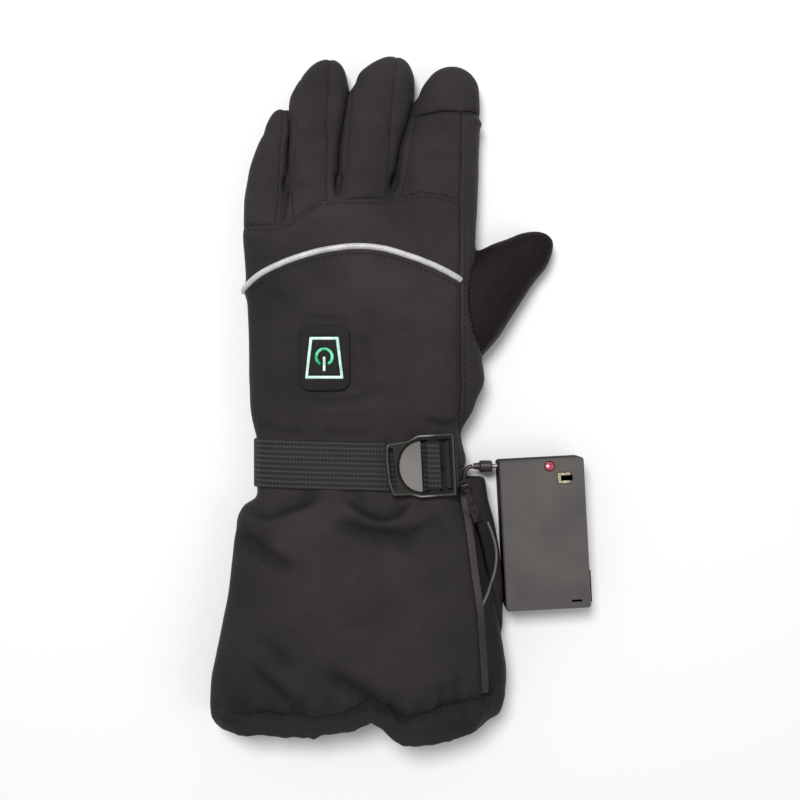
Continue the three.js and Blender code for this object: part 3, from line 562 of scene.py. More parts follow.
# How far the hem is drawn out or in, by place along it
HEM_SHIFT = [
    (-97, -6), (-94.5, -5), (-90.5, -2.6), (-82.5, -2.2), (-74.5, -1.5), (-66.5, 0.5), (-58, 0),
    (-46, 0), (-42.5, -1.5), (-38.5, 0), (-22, -0.3), (-18.5, 1.8), (-14.5, 4.8), (-10.5, 3),
    (-6.5, 1), (-2.5, -2.2), (1.5, -3.2), (9.5, -2.2), (17.5, -1.2), (25, -0.6), (33.5, -1),
    (41, -0.5), (46, -1.4), (50, -2.2),
]
# Where the outline is drawn a little out or in: place, move and reach in mm
NUDGES = [
    (44, 75, -0.6, 1.4, 9), (53, 79, -0.4, 1.2, 8), (73, 78, 1.3, 1.0, 6), (66, 60, -0.3, 0.2, 9),
    (39, 26, 0.6, -3.0, 8), (38, 8, 1.4, 0, 6), (33, -30, 2.8, 0, 7), (-56, 151, -1.3, 0, 7),
    (-19, 163, -1.2, 0.9, 6), (-65, 134, 0.7, -0.3, 9), (35, 157, 0.8, 0.8, 6),
]

# The pocket's mouth: how far up, and how far across its two edges are
MOUTH_INNER = [(-104, 38.2), (-95, 38.6), (-80, 37.6), (-66, 36), (-56, 35)]
MOUTH_OUTER = [
    (-104, 38.4), (-97, 40.4), (-91, 43.2), (-84, 45.4), (-77, 46.4), (-72, 46), (-66, 44.4), (-56, 41),
]

# Kinds of panel, and how strongly the seam between two kinds shows
SKIN_KINDS = {
    "pinky_back": "back", "ring_back": "back", "middle_back": "back", "index_back": "back",
    "fourchette_pinky_ring": "side", "fourchette_ring_middle": "side", "fourchette_middle_index": "side",
    "thumb_back": "thumb", "thumb_palm": "thumb",
}
PLAIN_SEAM = 0.4  # between any other two
SEAM_STRENGTHS = [
    ("side", "back", 0.3), ("side", "knuckle_band", 0.2), ("side", "palm", 0.0), ("back", "palm", 0.1),
    ("back", "knuckle_band", 0.35), ("back", "index_side", 0.7), ("knuckle_band", "index_side", 0.8),
    ("back_hand", "index_side", 0.8), ("index_tip_cap", "back", 1.0), ("index_tip_cap", "index_side", 1.0),
    ("index_tip_cap", "side", 0.8), ("hem_band", "cuff_back", 0.15), ("hem_band", "cuff_side", 0.15),
    ("thumb", "thumb", 0.4), ("thumb", "palm", 0.6), ("thumb", "index_side", 0.7),
]


def smooth(value, low, high):
    """0 at low and 1 at high, with a soft start and end."""
    share = np.clip((value - low) / (high - low), 0, 1)
    return share * share * (3 - 2 * share)


def table(rows, at):
    """What the rows give at that place, by straight lines between them."""
    rows = np.array(rows, float)
    return np.interp(at, rows[:, 0], rows[:, 1])


def spread_fingers(points, back=False):
    """Moves the fingers apart by SPREAD, or back together. Points are in mm."""
    x, y = points[:, 0], points[:, 1]
    shift = np.zeros(len(points))
    fade = smooth(y, *CROTCH)
    for order, gap in enumerate(FINGER_GAPS):
        line = table(gap, y)
        if back:
            line = line + (order + 0.5) * SPREAD * fade
        shift += (x > line) * SPREAD * fade
    moved = points.copy()
    moved[:, 0] += -shift if back else shift
    return moved


def mouth_of(x, y):
    """1 in the mouth of the battery pocket, between the zip and the piped edge, and 0 outside it."""
    inner, outer = table(MOUTH_INNER, y), table(MOUTH_OUTER, y)
    inside = smooth(x, inner - 0.4, inner + 1.2) * (1 - smooth(x, outer - 0.8, outer + 0.4))
    return inside * smooth(y, -103, -97) * (1 - smooth(y, -66, -54))


def painted_falloff_shade(x, y):
    """Painted shade towards the flanks and the hem, where the light falls off, from 0 to 1."""
    hand = 0.34 * (1 - smooth(x, -56, -24)) * smooth(y, -30, -10) * (1 - smooth(y, 72, 84))
    left = 0.5 * (1 - smooth(x, -84, -50)) * (1 - smooth(y, -72, -40))
    right = 0.45 * smooth(x, 2, 24) * (1 - smooth(y, -60, -46))
    low = 0.45 * (1 - smooth(y, -152, -112))
    return 1 - (1 - hand) * (1 - left) * (1 - right) * (1 - low)


def cloudy(points, size, seed):
    """Smooth noise from -1 to 1 at that size in mm."""
    return np.array([noise.noise(Vector(point) / size + Vector((seed, 0, 0))) for point in points])


def pressed(points):
    """Presses neighbouring fingers flat against each other. Points are in mm."""
    y, moved = points[:, 1], points.copy()
    levels = np.arange(110, 160, 2.0)
    for gap, top in zip(FINGER_GAPS, GAP_TOPS):
        away = points[:, 0] - table(gap, y)
        reach = np.abs(away)
        share = np.clip(reach / PRESS["reach"], 0, 1)
        slack = np.zeros(len(y))
        for side in (away < 0, away > 0):
            near = [reach[side & (np.abs(y - level) < 2)].min(initial=PRESS["slack"]) for level in levels]
            slack[side] = np.interp(y[side], levels, near)
        flat = PRESS["reach"] * share ** PRESS["power"] - slack * PRESS["close"] * (1 - share)
        weight = smooth(y, 88, 100) * (1 - smooth(y, top - 4, top + 2)) * (reach < PRESS["reach"])
        moved[:, 0] += np.sign(away) * (flat - reach) * weight
    return moved


def outer_side(points, normals, edges, rim):
    """Which vertices are on the shell's outside: those reached from its top without passing the rim."""
    blocked = points[:, 1] < rim + 5
    reached = np.zeros(len(points), bool)
    reached[np.argmax(points[:, 2])] = True
    a, b = edges[:, 0], edges[:, 1]
    usable = ~(blocked[a] | blocked[b])
    a, b = a[usable], b[usable]
    while True:
        new = reached.copy()
        new[b[reached[a]]] = True
        new[a[reached[b]]] = True
        if new.sum() == reached.sum():
            break
        reached = new
    away = ((points - CUFF_MIDDLE) * normals)[:, [0, 2]].sum(1) > 0
    return reached | (blocked & away)


def skin_mesh():
    """The whole glove as one closed shell. The piping's node fills its channel, and isn't a panel."""
    copy = merged([*SKIN_NODES, "knuckle_piping"])
    for level in range(int(CROTCH[0]) - 2, int(CROTCH[1]) + 3):
        geometry = [*copy.verts, *copy.edges, *copy.faces]
        cut_at = {"plane_co": (0, level * MM, 0), "plane_no": (0, 1, 0)}
        bmesh.ops.bisect_plane(copy, geom=geometry, dist=1e-7, **cut_at)
    for vertex in copy.verts:
        vertex.co += vertex.normal * GROW * MM
    mesh = settled(copy, "skin")
    set_points(mesh, spread_fingers(points_of(mesh) / MM) * MM)
    return applied(mesh, ("REMESH", {"mode": "VOXEL", "voxel_size": VOXEL * MM}))


def rebuilt(name, points, faces):
    """A mesh of these points and quads, without the points that no quad uses."""
    used, compact = np.unique(faces, return_inverse=True)
    mesh = bpy.data.meshes.new(name)
    mesh.from_pydata((points[used] * MM).tolist(), [], compact.reshape(-1, 4).tolist())
    mesh.update()
    return mesh, used


class Skin:
    """The glove's outer surface in mm, its panels and how far each point is from a seam."""

    def __init__(self):
        mesh = skin_mesh()
        points = spread_fingers(points_of(mesh) / MM, back=True)
        normals, edges, faces = normals_of(mesh), edges_of(mesh), faces_of(mesh)
        rim = RIM_LEVEL + table(RIM, points[:, 0])
        outer = outer_side(points, normals, edges, rim)
        amount = 0.5 * np.clip((points[:, 1] - rim) / RIM_FADE, 0.06, 1)[:, None]
        smoothed = relaxed(points, edges, SMOOTHING, amount)
        points = smoothed + relaxed(points - smoothed, edges, SMOOTHING, amount)
        self.mesh, _ = rebuilt("skin", points, faces[outer[faces].all(1)])
        self.points = points_of(self.mesh) / MM
        self.edges, self.faces = edges_of(self.mesh), faces_of(self.mesh)
        self.regions()
        self.seams()
        self.points = pressed(self.points)
        low = smooth(-self.points[:, 1], 139, 155)
        along = self.points * [1, 0, 0]
        ragged = 0.5 * cloudy(along, 4.5, 12) + 0.4 * cloudy(along, 11, 5)
        self.points[:, 1] += low * (table(HEM_SHIFT, self.points[:, 0]) + ragged)
        for cx, cy, dx, dy, reach in NUDGES:
            near = np.exp(-((self.points[:, :2] - [cx, cy]) ** 2).sum(1) / reach ** 2)
            self.points[:, :2] += near[:, None] * [dx, dy]
        set_points(self.mesh, self.points * MM)

    def push(self, distance):
        """Moves each point out along its normal, but never below the table."""
        set_points(self.mesh, self.points * MM)
        self.points = self.points + normals_of(self.mesh) * np.reshape(distance, (-1, 1))
        self.points[:, 2] = np.maximum(self.points[:, 2], 0)
        set_points(self.mesh, self.points * MM)

    def regions(self):
        """Each quad belongs to the CAD node that is nearest to its middle."""
        verts, polygons, owner = [], [], []
        for index, node in enumerate(SKIN_NODES):
            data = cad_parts[node].data
            start = len(verts)
            verts += [v.co for v in data.vertices]
            polygons += [[start + i for i in polygon.vertices] for polygon in data.polygons]
            owner += [index] * len(data.polygons)
        tree = BVHTree.FromPolygons(verts, polygons)
        middles = self.points[self.faces].mean(1) * MM
        self.region = np.array([owner[tree.find_nearest(Vector(middle))[2]] for middle in middles])

    def seams(self):
        """Finds the points between two panels, evens their line out, and measures all points' way to it."""
        low = np.full(len(self.points), 99)
        high = np.full(len(self.points), -1)
        for corner in range(4):
            np.minimum.at(low, self.faces[:, corner], self.region)
            np.maximum.at(high, self.faces[:, corner], self.region)
        on_seam = low != high
        pairs = self.edges[on_seam[self.edges].all(1)]
        sides = {}
        for face, owner in zip(self.faces.tolist(), self.region.tolist()):
            for i in range(4):
                key = (min(face[i], face[i - 1]), max(face[i], face[i - 1]))
                sides.setdefault(key, []).append(owner)
        pairs = map(tuple, np.sort(pairs, 1).tolist())
        between = [key for key in pairs if len(set(sides.get(key, [0]))) > 1]
        rim = [key for key, owners in sides.items() if len(owners) == 1]
        self.points = relaxed(self.points, np.array(between), 14, 0.5 * on_seam[:, None])
        rim_points = np.zeros(len(self.points), bool)
        rim_points[np.unique(rim)] = True
        self.points = relaxed(self.points, np.array(rim), 3, 0.5 * rim_points[:, None])
        inside = ~(on_seam | rim_points)
        self.points = relaxed(self.points, self.edges, 3, 0.4 * inside[:, None])
        strengths = {frozenset(pair): strength for *pair, strength in SEAM_STRENGTHS}
        where = np.flatnonzero(on_seam)
        tree = kdtree.KDTree(len(where))
        for i in where:
            tree.insert(self.points[i], int(i))
        tree.balance()
        found = [tree.find(point) for point in self.points]
        self.seam = np.array([one[2] for one in found])
        nearest = np.array([one[1] for one in found])
        kind_of = [SKIN_KINDS.get(node, node) for node in SKIN_NODES]
        kinds = [frozenset((kind_of[a], kind_of[b])) for a, b in zip(low, high)]
        strength = np.array([strengths.get(kind, PLAIN_SEAM) for kind in kinds])
        strength = relaxed(strength[:, None].repeat(3, 1), np.array(between), 12, 0.5)[:, 0]
        self.strength = strength[nearest]
        for gap in FINGER_GAPS:
            away = np.abs(self.points[:, 0] - table(gap, self.points[:, 1]))
            self.strength *= 1 - (1 - smooth(away, 2, 4)) * smooth(self.points[:, 1], 80, 86)
        set_points(self.mesh, self.points * MM)


def keep_above_table(mesh):
    points = points_of(mesh)
    points[:, 2] = points[:, 2].clip(0)
    set_points(mesh, points)


def without_spikes(points, edges, limit):
    """The points, but one that stands further than limit from its neighbours' middle goes back to it."""
    for _ in range(6):
        even = relaxed(points, edges, 1, 1.0)
        off = np.linalg.norm(points - even, axis=1)
        points = np.where((off > limit)[:, None], even, points)
    return points


def near_line(x, y, line, width):
    """1 on a line through (x, y) places and 0 beyond its width, fading towards its ends. All in mm."""
    best, along = np.full(len(x), 1e9), np.zeros(len(x))
    lengths = [math.dist(a, b) for a, b in zip(line, line[1:])]
    done = 0.0
    for (x0, y0), (x1, y1), length in zip(line, line[1:], lengths):
        dx, dy = x1 - x0, y1 - y0
        share = np.clip(((x - x0) * dx + (y - y0) * dy) / length ** 2, 0, 1)
        distance = np.hypot(x - x0 - share * dx, y - y0 - share * dy)
        nearer = distance < best
        best = np.where(nearer, distance, best)
        along = np.where(nearer, (done + share * length) / sum(lengths), along)
        done += length
    return np.exp(-((best / width) ** 2)) * smooth(along, -0.08, 0.22) * smooth(1 - along, -0.08, 0.22)


# What rises or dips on the back of the glove: its height, width and line in mm
CREASES = [
    # Grooves that go on below the fingers' roots
    (-1.8, 1.5, [(-56.3, 112), (-57, 100), (-58.3, 86)]),
    (-1.6, 1.5, [(-30.5, 112), (-31, 104), (-31, 99)]),
    (-1.6, 1.5, [(-2.5, 112), (-4.3, 104), (-5, 98)]),
    # Knuckles of the fingers
    (-0.7, 2.6, [(-74, 131), (-66, 134), (-59, 132)]),
    (-0.6, 2.6, [(-53, 128), (-44, 131), (-35, 129)]),
    (-0.6, 2.6, [(-26, 129), (-14, 133), (-3, 131)]),
    (-0.5, 2.6, [(8, 118), (18, 120), (27, 118)]),
    (-0.5, 2.2, [(-54, 103), (-46, 105), (-38, 103)]),
    (-0.5, 2.2, [(-24, 108), (-15, 110), (-7, 108)]),
    (1.2, 1.8, [(33, 138.5), (38, 138), (44, 137)]),
    # Back of the hand
    (-0.8, 3.5, [(-70, 52), (-58, 48), (-50, 40)]),
    (-0.7, 4.0, [(-20, 44), (-6, 36), (8, 34)]),
    (-0.7, 4.0, [(-22, 8), (-8, 2), (6, 4)]),
    # Wrinkles round the button pad
    (-1.0, 2.0, [(-46, 1), (-36, -1.5), (-25, -1), (-12, 3)]),
    (0.7, 2.6, [(-48, -3), (-34, -6), (-20, -5), (-6, 0)]),
    (0.8, 2.6, [(-19, 36), (-11, 26), (-10, 12), (-15, 2)]),
    (-0.8, 2.0, [(-22, 32), (-15.5, 22), (-15, 10)]),
    (-1.0, 1.8, [(-50, 36), (-44, 39), (-30, 39), (-24, 36.5)]),
    (0.7, 5.0, [(-62, 30), (-58, 12), (-60, -6)]),
    (-1.4, 2.0, [(12, -10), (20, -12.5), (27, -12)]),
    (-0.9, 2.4, [(-70, -12), (-60, -16), (-48, -17)]),
    (-0.9, 2.4, [(-40, -15), (-28, -17.5), (-14, -16)]),
    # The gauntlet, below the strap
    (1.6, 4.5, [(-31, -43), (-39, -48), (-46, -51.5), (-55.1, -56.2), (-69, -59.5)]),
    (-2.8, 3.6, [(-38, -45), (-47, -49), (-56, -52.5), (-64, -55.4), (-74, -53)]),
    (2.0, 3.6, [
        (-35, -42), (-27.2, -50.8), (-20, -56.2), (-12.9, -59.4), (-5.6, -60.2), (0.6, -57.1), (5.2, -51.7),
        (11.4, -45),
    ]),
    (-2.2, 3.4, [(-24, -46), (-16.4, -53.6), (-8.3, -56), (-2, -54), (2, -49)]),
    (-2.8, 4.4, [(-34, -58.5), (-24, -61.5), (-14.6, -63.8), (-3.9, -65.8), (9, -70)]),
    (-1.8, 3.0, [(4, -66), (12, -60.5), (21, -56)]),
    (-2.6, 3.6, [(-80, -64), (-72, -69), (-64, -75.1), (-52, -82)]),
    (1.2, 5.0, [(-78, -72), (-70, -79), (-60, -85)]),
    (1.0, 12, [(-30, -88), (-24, -96), (-20, -108)]),
    (-0.9, 5.0, [(0, -84), (12, -88), (24, -86)]),
    # Above the hem
    (-3.0, 3.4, [(-36, -131), (-28, -135), (-19, -140), (-8, -147)]),
    (1.6, 4.5, [(-30, -126), (-16, -132), (0, -143)]),
    (-2.4, 3.2, [(-72, -129), (-64, -135), (-57, -141), (-46, -151)]),
    (1.2, 4.0, [(-66, -128), (-56, -135), (-46, -143)]),
    (-1.6, 4.0, [(-70, -113), (-61, -120), (-53, -129)]),
    (-1.6, 2.2, [(26.5, -132), (27, -141), (28.5, -152)]),
    (-1.4, 2.2, [(19, -134), (20, -143), (18, -153)]),
    (1.4, 1.8, [(34.6, -128), (35.4, -137), (35.8, -147)]),
    (-1.6, 2.2, [(46, -131), (42.5, -139), (40, -149)]),
    # The hem's seam, drawn in by its elastic
    (-2.6, 2.6, [(-78, -150), (-70, -151.2), (-62, -152), (-54, -151.6)]),
    (-2.0, 2.2, [(-58, -151), (-46, -153.5), (-36, -154), (-28, -151)]),
    (-3.0, 3.2, [(-33, -154), (-24, -150.5), (-15, -147), (-6, -148.5), (2, -153.5)]),
    (-2.2, 2.4, [(-4, -151), (4, -153), (12, -151), (20, -147.5)]),
    (-2.0, 2.2, [(14, -150), (24, -146.5), (34, -145), (46, -141)]),
]
# Gathers that cross the hem seam: place along it, and height
HEM_PLEATS = [
    (-83, 0.8), (-77, -0.9), (-70, 0.7), (-63, -1.0), (-55, 0.8), (-47, -0.9), (-41, 0.6), (-34, -1.0),
    (-27, 0.9), (-19, -0.8), (-13, 0.9), (-6, -1.1), (1, 0.7), (8, -0.8), (14, 0.8), (21, -0.9), (27, 0.7),
    (32, -0.9), (38, 0.9), (45, -0.7),
]
STRAP_MIDDLE, STRAP_HALF = -32, 12
HEM_TOP = -149
SPIKE = 0.55  # the furthest that a point may stand from its neighbours' middle


def gathers(x, y):
    """A run of soft, uneven pleats across x, about 15 mm apart, from -1 to 1."""
    return np.sin(x * 2 * math.pi / 15 + 1.7 * np.sin(x / 11 + 0.4) + 0.05 * y)


skin = Skin()
x, y, z = skin.points.T
back = smooth(z, 7, 12)
facing = 0.25 + 0.75 * smooth(normals_of(skin.mesh)[:, 2], 0.05, 0.7)

# Each panel swells away from its seams, and each seam lies in a narrow groove in a wider dip
relief = 0.6 * (1 - np.exp(-skin.seam / 6)) - 0.8 * np.exp(-((skin.seam / 1.3) ** 2))
relief -= 0.3 * np.exp(-((skin.seam / 4) ** 2))
relief = relief * facing * (0.2 + 0.8 * skin.strength)
# Crease depth, which is turned into painted shade further down
fold_depth_then_painted_shade = np.zeros(len(x))
for height, width, line in CREASES:
    rise = back * height * near_line(x, y, line, width)
    relief += rise
    fold_depth_then_painted_shade -= np.minimum(rise, 0)

# The strap draws the cloth in beside it, and the hem's elastic draws it into pleats
cinched = np.abs(y - STRAP_MIDDLE) - STRAP_HALF
near_strap = np.exp(-((np.maximum(cinched, 0) / 13) ** 2)) * smooth(cinched, -2, 3)
relief += back * 0.4 * near_strap * gathers(x, y)
across_hem = np.exp(-(((y - HEM_TOP) / 8.5) ** 2))
for place, height in HEM_PLEATS:
    bend = place + 1.2 * math.sin(place)
    relief += 1.3 * height * across_hem * np.exp(-(((x - bend - 0.25 * (y - HEM_TOP)) / 2.1) ** 2))
relief += facing * (0.45 * cloudy(skin.points, 26, 3) + 0.25 * cloudy(skin.points, 9, 8))
mouth = mouth_of(x, y) * back
relief -= 1.6 * mouth
skin.push(relief)
off_the_rim = (y > RIM_LEVEL + table(RIM, x) + 4) & (z > 0.5)
even = without_spikes(skin.points, skin.edges, SPIKE)
skin.points = np.where(off_the_rim[:, None], even, skin.points)
set_points(skin.mesh, skin.points * MM)

# Painted shade: darker in creases, on faces that tilt away from the light above, in the pocket's mouth, and
# towards the flanks and the hem
tilted = 1 - smooth(normals_of(skin.mesh)[:, 2], 0.35, 0.95)
closed = np.clip(fold_depth_then_painted_shade / 3.4 + 0.35 * tilted + 0.8 * mouth, 0, 1)
fold_depth_then_painted_shade = 1 - (1 - closed) * (1 - painted_falloff_shade(x, y))

# The cuff's side panel takes the darker copy of the cloth, which is painted shade
PANELS = {
    "palm": (LEATHER, "leather"), "cuff_palm": (LEATHER, "leather"), "cuff_side": (SHADED_CLOTH_COPY, "fabric"),
    "thumb_back": (LEATHER, "leather"), "thumb_palm": (LEATHER, "leather"),
}
for index, node in enumerate(SKIN_NODES):
    material, slot = PANELS.get(node, (CLOTH, "fabric"))
    panel, used = rebuilt(node + "_padded", skin.points, skin.faces[skin.region == index])
    near = np.clip(1 - skin.seam[used] / SEAM_REACH, 0, 1) * skin.strength[used] ** 0.5
    give(panel, "seam", near)
    # Each panel carries the painted shade as an attribute
    give(panel, "painted_shade", fold_depth_then_painted_shade[used])
    panel = applied(panel, ("SOLIDIFY", {"thickness": WALL * MM, "offset": -1}))
    keep_above_table(panel)
    panel.shade_smooth()
    piece = publish(node + "_padded", panel, material, slot, [node])

skin_tree = BVHTree.FromPolygons([Vector(p) for p in skin.points * MM], skin.faces.tolist())


def top_of(tree, x, y):
    """The uppermost place at (x, y) in mm, or the nearest to 18 mm up if there is none, and its normal."""
    hit, normal, _, _ = tree.ray_cast(Vector((x, y, 200)) * MM, Vector((0, 0, -1)))
    if hit is None:
        hit, normal, _, _ = tree.find_nearest(Vector((x, y, 18)) * MM)
    return hit, normal


def on_back(x, y, lift):
    """The place on the glove's back at (x, y) in mm, raised by lift, and the surface's normal there."""
    hit, normal = top_of(skin_tree, x, y)
    return hit + normal * lift * MM, normal


# Pocket, piping, button

PIPING_RADIUS, PIPING_LIFT = 1.5, 0.35
EDGE_RADIUS, EDGE_LIFT = 0.6, 0.45

# The pocket takes the darker copy of the cloth, which is painted shade, and more painted shade in its mouth
pocket = softened("battery_pocket_cloth", "battery_pocket", SHADED_CLOTH_COPY, "fabric", 0.9, 14, 0.25)
keep_above_table(pocket.data)
px, py, pz = points_of(pocket.data).T / MM
give(pocket.data, "painted_shade", mouth_of(px, py) * smooth(pz, 12, 16))

KNUCKLE_PIPING = [
    (-78.3, 53.2), (-71, 59), (-63.4, 63.4), (-51.8, 68.2), (-36.5, 72.4), (-21.1, 74.1),
    (-7.7, 72.8), (7.7, 68), (19.2, 63.2), (28.6, 58.4),
]
bead = [on_back(p.x, p.y, PIPING_LIFT)[0] for p in centripetal([(a, b, 0) for a, b in KNUCKLE_PIPING], 6)]
bead_mesh = curve_mesh("knuckle_piping_bead", bead, PIPING_RADIUS * MM)
publish("knuckle_piping_bead", bead_mesh, PIPING_TAPE, "reflective", ["knuckle_piping"])

POCKET_EDGE = [
    (42.6, -60), (45, -66), (46.6, -72), (47, -77), (46, -84), (43.6, -91), (40.6, -97), (38.6, -101),
]
places = [Vector(p) for p in skin.points * MM] + [vertex.co.copy() for vertex in pocket.data.vertices]
offset = len(skin.points)
shifted = [[offset + i for i in polygon.vertices] for polygon in pocket.data.polygons]
pocket_tree = BVHTree.FromPolygons(places, skin.faces.tolist() + shifted)
edge = [top_of(pocket_tree, p.x, p.y)[0] for p in centripetal([(a, b, 0) for a, b in POCKET_EDGE], 6)]
raised = [place + Vector((0, 0, EDGE_LIFT)) * MM for place in edge]
edge_mesh = curve_mesh("pocket_piping_bead", raised, EDGE_RADIUS * MM)
# The pocket's edge binding is painted pale, a painted highlight along it
publish("pocket_piping_bead", edge_mesh, POCKET_EDGE_PAINTED_HIGHLIGHT, "fabric", ["pocket_piping"])
softened("button_pad_rubber", "button_pad", RUBBER, "rubber", 0.4, 5)
softened("button_outline_light", "button_outline", MARK_WHITE, "lit", 0.18, 6, 0.2)
softened("power_ring_light", "power_ring", MARK_GREEN, "lit", 0.18, 1, 0.24)
softened("power_bar_light", "power_bar", MARK_WHITE, "lit", 0.18, 1, 0.12)


# Stitches: short grains of thread along the seams, in mm

STITCH_LENGTH, STITCH_WIDTH, STITCH_PITCH, STITCH_LIFT = 2.3, 0.34, 3.0, 0.12


def stitched(name, line):
    """A row of stitches along a line of (x, y) places on the glove's back, as one mesh."""
    path = centripetal([(a, b, 0) for a, b in line], 12)
    size = Matrix.Diagonal((STITCH_LENGTH / 2 * MM, STITCH_WIDTH * MM, STITCH_WIDTH * 0.8 * MM, 1))
    row = bmesh.new()
    way = STITCH_PITCH / 2
    for start, end in zip(path, path[1:]):
        step = (end - start).length
        while way < step:
            place = start.lerp(end, way / step)
            hit, normal = on_back(place.x, place.y, STITCH_LIFT)
            along = (end - start).normalized()
            along = (along - normal * along.dot(normal)).normalized()
            turn = Matrix((along, normal.cross(along), normal)).transposed().to_4x4()
            matrix = Matrix.Translation(hit) @ turn @ size
            bmesh.ops.create_icosphere(row, subdivisions=2, radius=1, matrix=matrix)
            way += STITCH_PITCH
        way -= step
    mesh = settled(row, name)
    mesh.shade_smooth()
    return publish(name, mesh, THREAD, "fabric")


STITCH_ROWS = {
    "stitches_knuckle": [
        (-76, 83.4), (-58, 83.4), (-46.3, 90), (-38.6, 95.2), (-20, 96), (-3, 96.3), (9.5, 99.2),
        (27, 96.2),
    ],
    "stitches_piping": [
        (-74, 52.6), (-62.2, 60), (-50.8, 64.9), (-36, 69.1), (-21.1, 70.7), (-8.4, 69.5), (6.6, 64.8),
        (26, 56),
    ],
    "stitches_side_seam": [(27, 52), (27, 20), (27, -12)],
    "stitches_side_strip": [(31, 94), (31, 60), (31, 20), (31, -10)],
    "stitches_cap": [(6.6, 139.4), (20, 140), (35.5, 140.6)],
    "stitches_zip": [(31.4, -62), (33.2, -82), (36, -102), (37.2, -122), (38, -138)],
    "stitches_hem": [
        (-84, -144), (-70, -146.6), (-54, -147.6), (-37, -148), (-15, -141.8), (2, -147.4), (18, -143.4),
        (36, -139.6),
    ],
}
for name, line in STITCH_ROWS.items():
    stitched(name, line)


# Strap, buckle, zip

# All in mm in the buckle's own frame
PLATE_LEVEL = 2.6  # above which its faces take the plate's painted reflection
RIM_HEIGHT, RIM_RADIUS, RIM_ROUNDING = 2.15, 0.42, 0.9
BUCKLE_RIM = [
    (11.2, -14.5), (11.2, 14.5), (-6, 14.5), (-10.7, 12.1), (-20.9, 11.1), (-21.5, 3.4), (-20.7, -7.3),
    (-18.9, -12.7), (-10.7, -12.9), (-6, -14.5),
]
SLOT = (-1.3, 3.5)  # the strap passes through the frame between these
SLOT_SQUEEZE = (0.5, 0.4)  # how much of the strap's reach past them stays
ANCHOR_TOP = -0.4  # the anchor's loop stays under this

strap = softened("strap_webbing", "strap", WEBBING, "webbing", 0.6, 4)
threaded(strap, -1.4, (-20, -32, 26), -30)
anchor = softened("strap_anchor_webbing", "strap_anchor", CLOTH, "webbing", 0.6, 4)

buckle = crisp("buckle_frame", "buckle", BLACK_PLASTIC, "acetal", 0.5)
buckle.data.materials.append(PLATE_PAINTED_REFLECTION)
turn = Matrix.Rotation(math.radians(BUCKLE_TURN), 4, "Z")
tilt = Matrix.Rotation(math.radians(BUCKLE_TILT), 4, "Y")
from_buckle = Matrix.Translation(Vector(BUCKLE_PLACE) * MM) @ turn @ tilt
to_buckle = from_buckle.inverted()
# Faces above PLATE_LEVEL take the plate's painted reflection, a grey for light mirrored in black acetal
for polygon in buckle.data.polygons:
    if (to_buckle @ polygon.center).z > PLATE_LEVEL * MM:
        polygon.material_index = 1

corners = [from_buckle @ (Vector((a, b, RIM_HEIGHT)) * MM) for a, b in BUCKLE_RIM]
rim = []
for before, corner, after in zip([corners[-1], *corners], corners, [*corners[1:], corners[0]]):
    start = corner.lerp(before, RIM_ROUNDING * MM / (corner - before).length)
    end = corner.lerp(after, RIM_ROUNDING * MM / (corner - after).length)
    for share in (0, 0.25, 0.5, 0.75, 1):
        rim.append(start.lerp(corner, share).lerp(corner.lerp(end, share), share))
rim_mesh = curve_mesh("buckle_raised_rim", rim, RIM_RADIUS * MM, 4, True)
# The rim is painted pale as a highlight
publish("buckle_raised_rim", rim_mesh, RIM_PAINTED_HIGHLIGHT, "acetal")

# The strap lies pressed between the frame's bars, and the anchor's loop under it
for vertex in strap.data.vertices:
    place = to_buckle @ vertex.co / MM
    if place.z > -1.5 and place.x > -4.5:
        if place.x < SLOT[0]:
            place.x = SLOT[0] + SLOT_SQUEEZE[0] * (place.x - SLOT[0])
        elif place.x > SLOT[1]:
            place.x = SLOT[1] + SLOT_SQUEEZE[1] * (place.x - SLOT[1])
        vertex.co = from_buckle @ (place * MM)
for vertex in anchor.data.vertices:
    place = to_buckle @ vertex.co / MM
    if place.z > ANCHOR_TOP:
        place.z = ANCHOR_TOP + 0.05 * place.z
        vertex.co = from_buckle @ (place * MM)

zip_band = softened("zip_band_cloth", "zip_band", ZIP_TAPE, "webbing", 0.5, 4)
level = points_of(zip_band.data)[:, 1] / MM
# Painted shade: the zip's tape is darker towards its lower end
give(zip_band.data, "painted_shade", 0.6 * smooth(-level, 92, 112))
crisp("zip_slider_body", "zip_slider", GUNMETAL, "nickel", 0.2, 2)
crisp("zip_puller_tab", "zip_puller", GUNMETAL, "nickel", 0.2, 2, "puller")


# Gland, plug and case

HIGHLIGHT_PLACE, HIGHLIGHT_RADIUS = (72.25, -32.45), 0.65  # the painted highlight on the lens, left of its middle, in mm

softened("lead_gland_moulding", "lead_gland", PVC, "pvc", 0.3, 3)
plug = crisp("plug_moulding", "plug", PVC, "pvc", 0.2, 2)
barrel = crisp("plug_barrel_sleeve", "plug_barrel", NICKEL, "nickel", 0.1, 2)
front = crisp("case_front_shell", "case_front", CASE_PAINTED_REFLECTION, "abs", 0.3)
front.data.materials.append(CASE_PAINTED_SHADE)
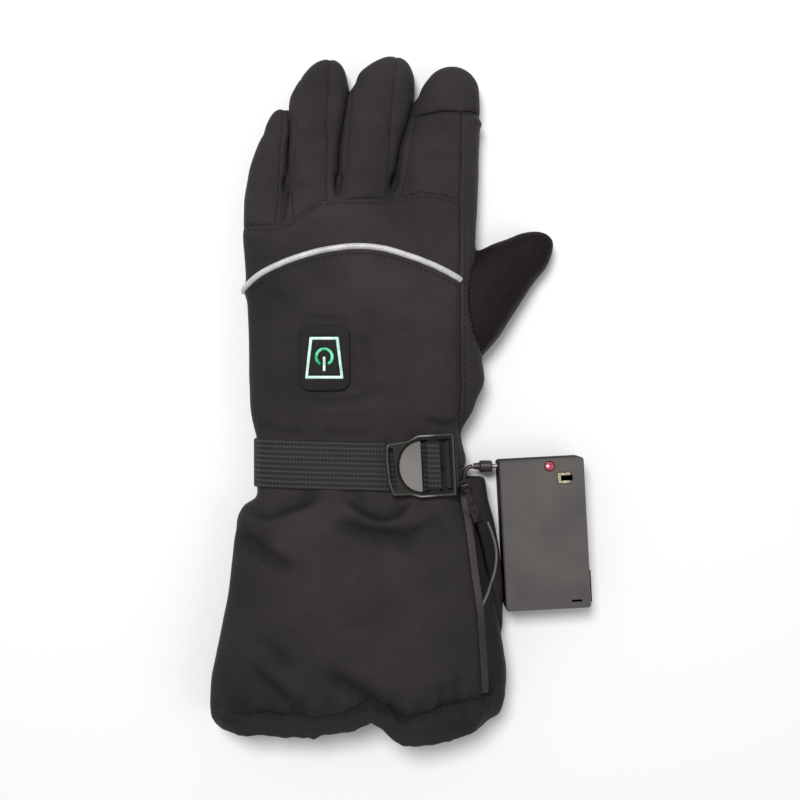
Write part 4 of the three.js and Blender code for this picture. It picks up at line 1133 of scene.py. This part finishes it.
# Faces that look up take the painted reflection, and the walls the painted shade
for polygon in front.data.polygons:
    polygon.material_index = int(polygon.normal.z < 0.5)
# The back and the catch take the painted shade
crisp("case_back_shell", "case_back", CASE_PAINTED_SHADE, "abs", 0.5)
crisp("case_catch_bump", "case_catch", CASE_PAINTED_SHADE, "abs", 0.35)
lens = softened("case_led_lens", "case_led", LED_LENS, "lens", 0.2, 5, -0.1)
lens.data.materials.append(LED_PAINTED_HIGHLIGHT)
# Faces near that place take the painted highlight
for polygon in lens.data.polygons:
    polygon.material_index = int((polygon.center.xy / MM - Vector(HIGHLIGHT_PLACE)).length < HIGHLIGHT_RADIUS)
crisp("port_frame_shell", "port_frame", GOLD, "nickel", 0.12, 2)


# Table and light

ROOM_LIGHT = 0.36

floor_mesh = bmesh.new()
bmesh.ops.create_grid(floor_mesh, x_segments=1, y_segments=1, size=4)
floor_mesh = settled(floor_mesh, "table")
floor = bpy.data.objects.new("table", floor_mesh)
bpy.context.scene.collection.objects.link(floor)
floor.location.z = -0.2 * MM
paint = blank("painted_table")
matt_white = {"Base Color": linear("#fdfdfe"), "Roughness": 0.9, "Specular IOR Level": 0.1}
feed(paint.node_tree.nodes["Principled BSDF"], matt_white)
floor_mesh.materials.append(paint)

world = bpy.data.worlds.new("studio")
world.use_nodes = True
world.node_tree.nodes["Background"].inputs["Color"].default_value = (1, 1, 1, 1)
world.node_tree.nodes["Background"].inputs["Strength"].default_value = ROOM_LIGHT
bpy.context.scene.world = world


def area_light(name, place, size, power):
    """A round soft light of that size in metres and power in watts, turned to the glove's middle."""
    data = bpy.data.lights.new(name, "AREA")
    data.shape = "DISK"
    data.size = size
    data.energy = power
    light = bpy.data.objects.new(name, data)
    light.location = place
    light.rotation_mode = "QUATERNION"
    light.rotation_quaternion = (-Vector(place)).to_track_quat("-Z", "Y")
    bpy.context.scene.collection.objects.link(light)


area_light("key", (-0.2, 0.45, 1.25), 0.5, 13)
area_light("fill", (0.9, -0.3, 1.0), 0.8, 2)
bpy.context.scene.view_settings.view_transform = "Standard"
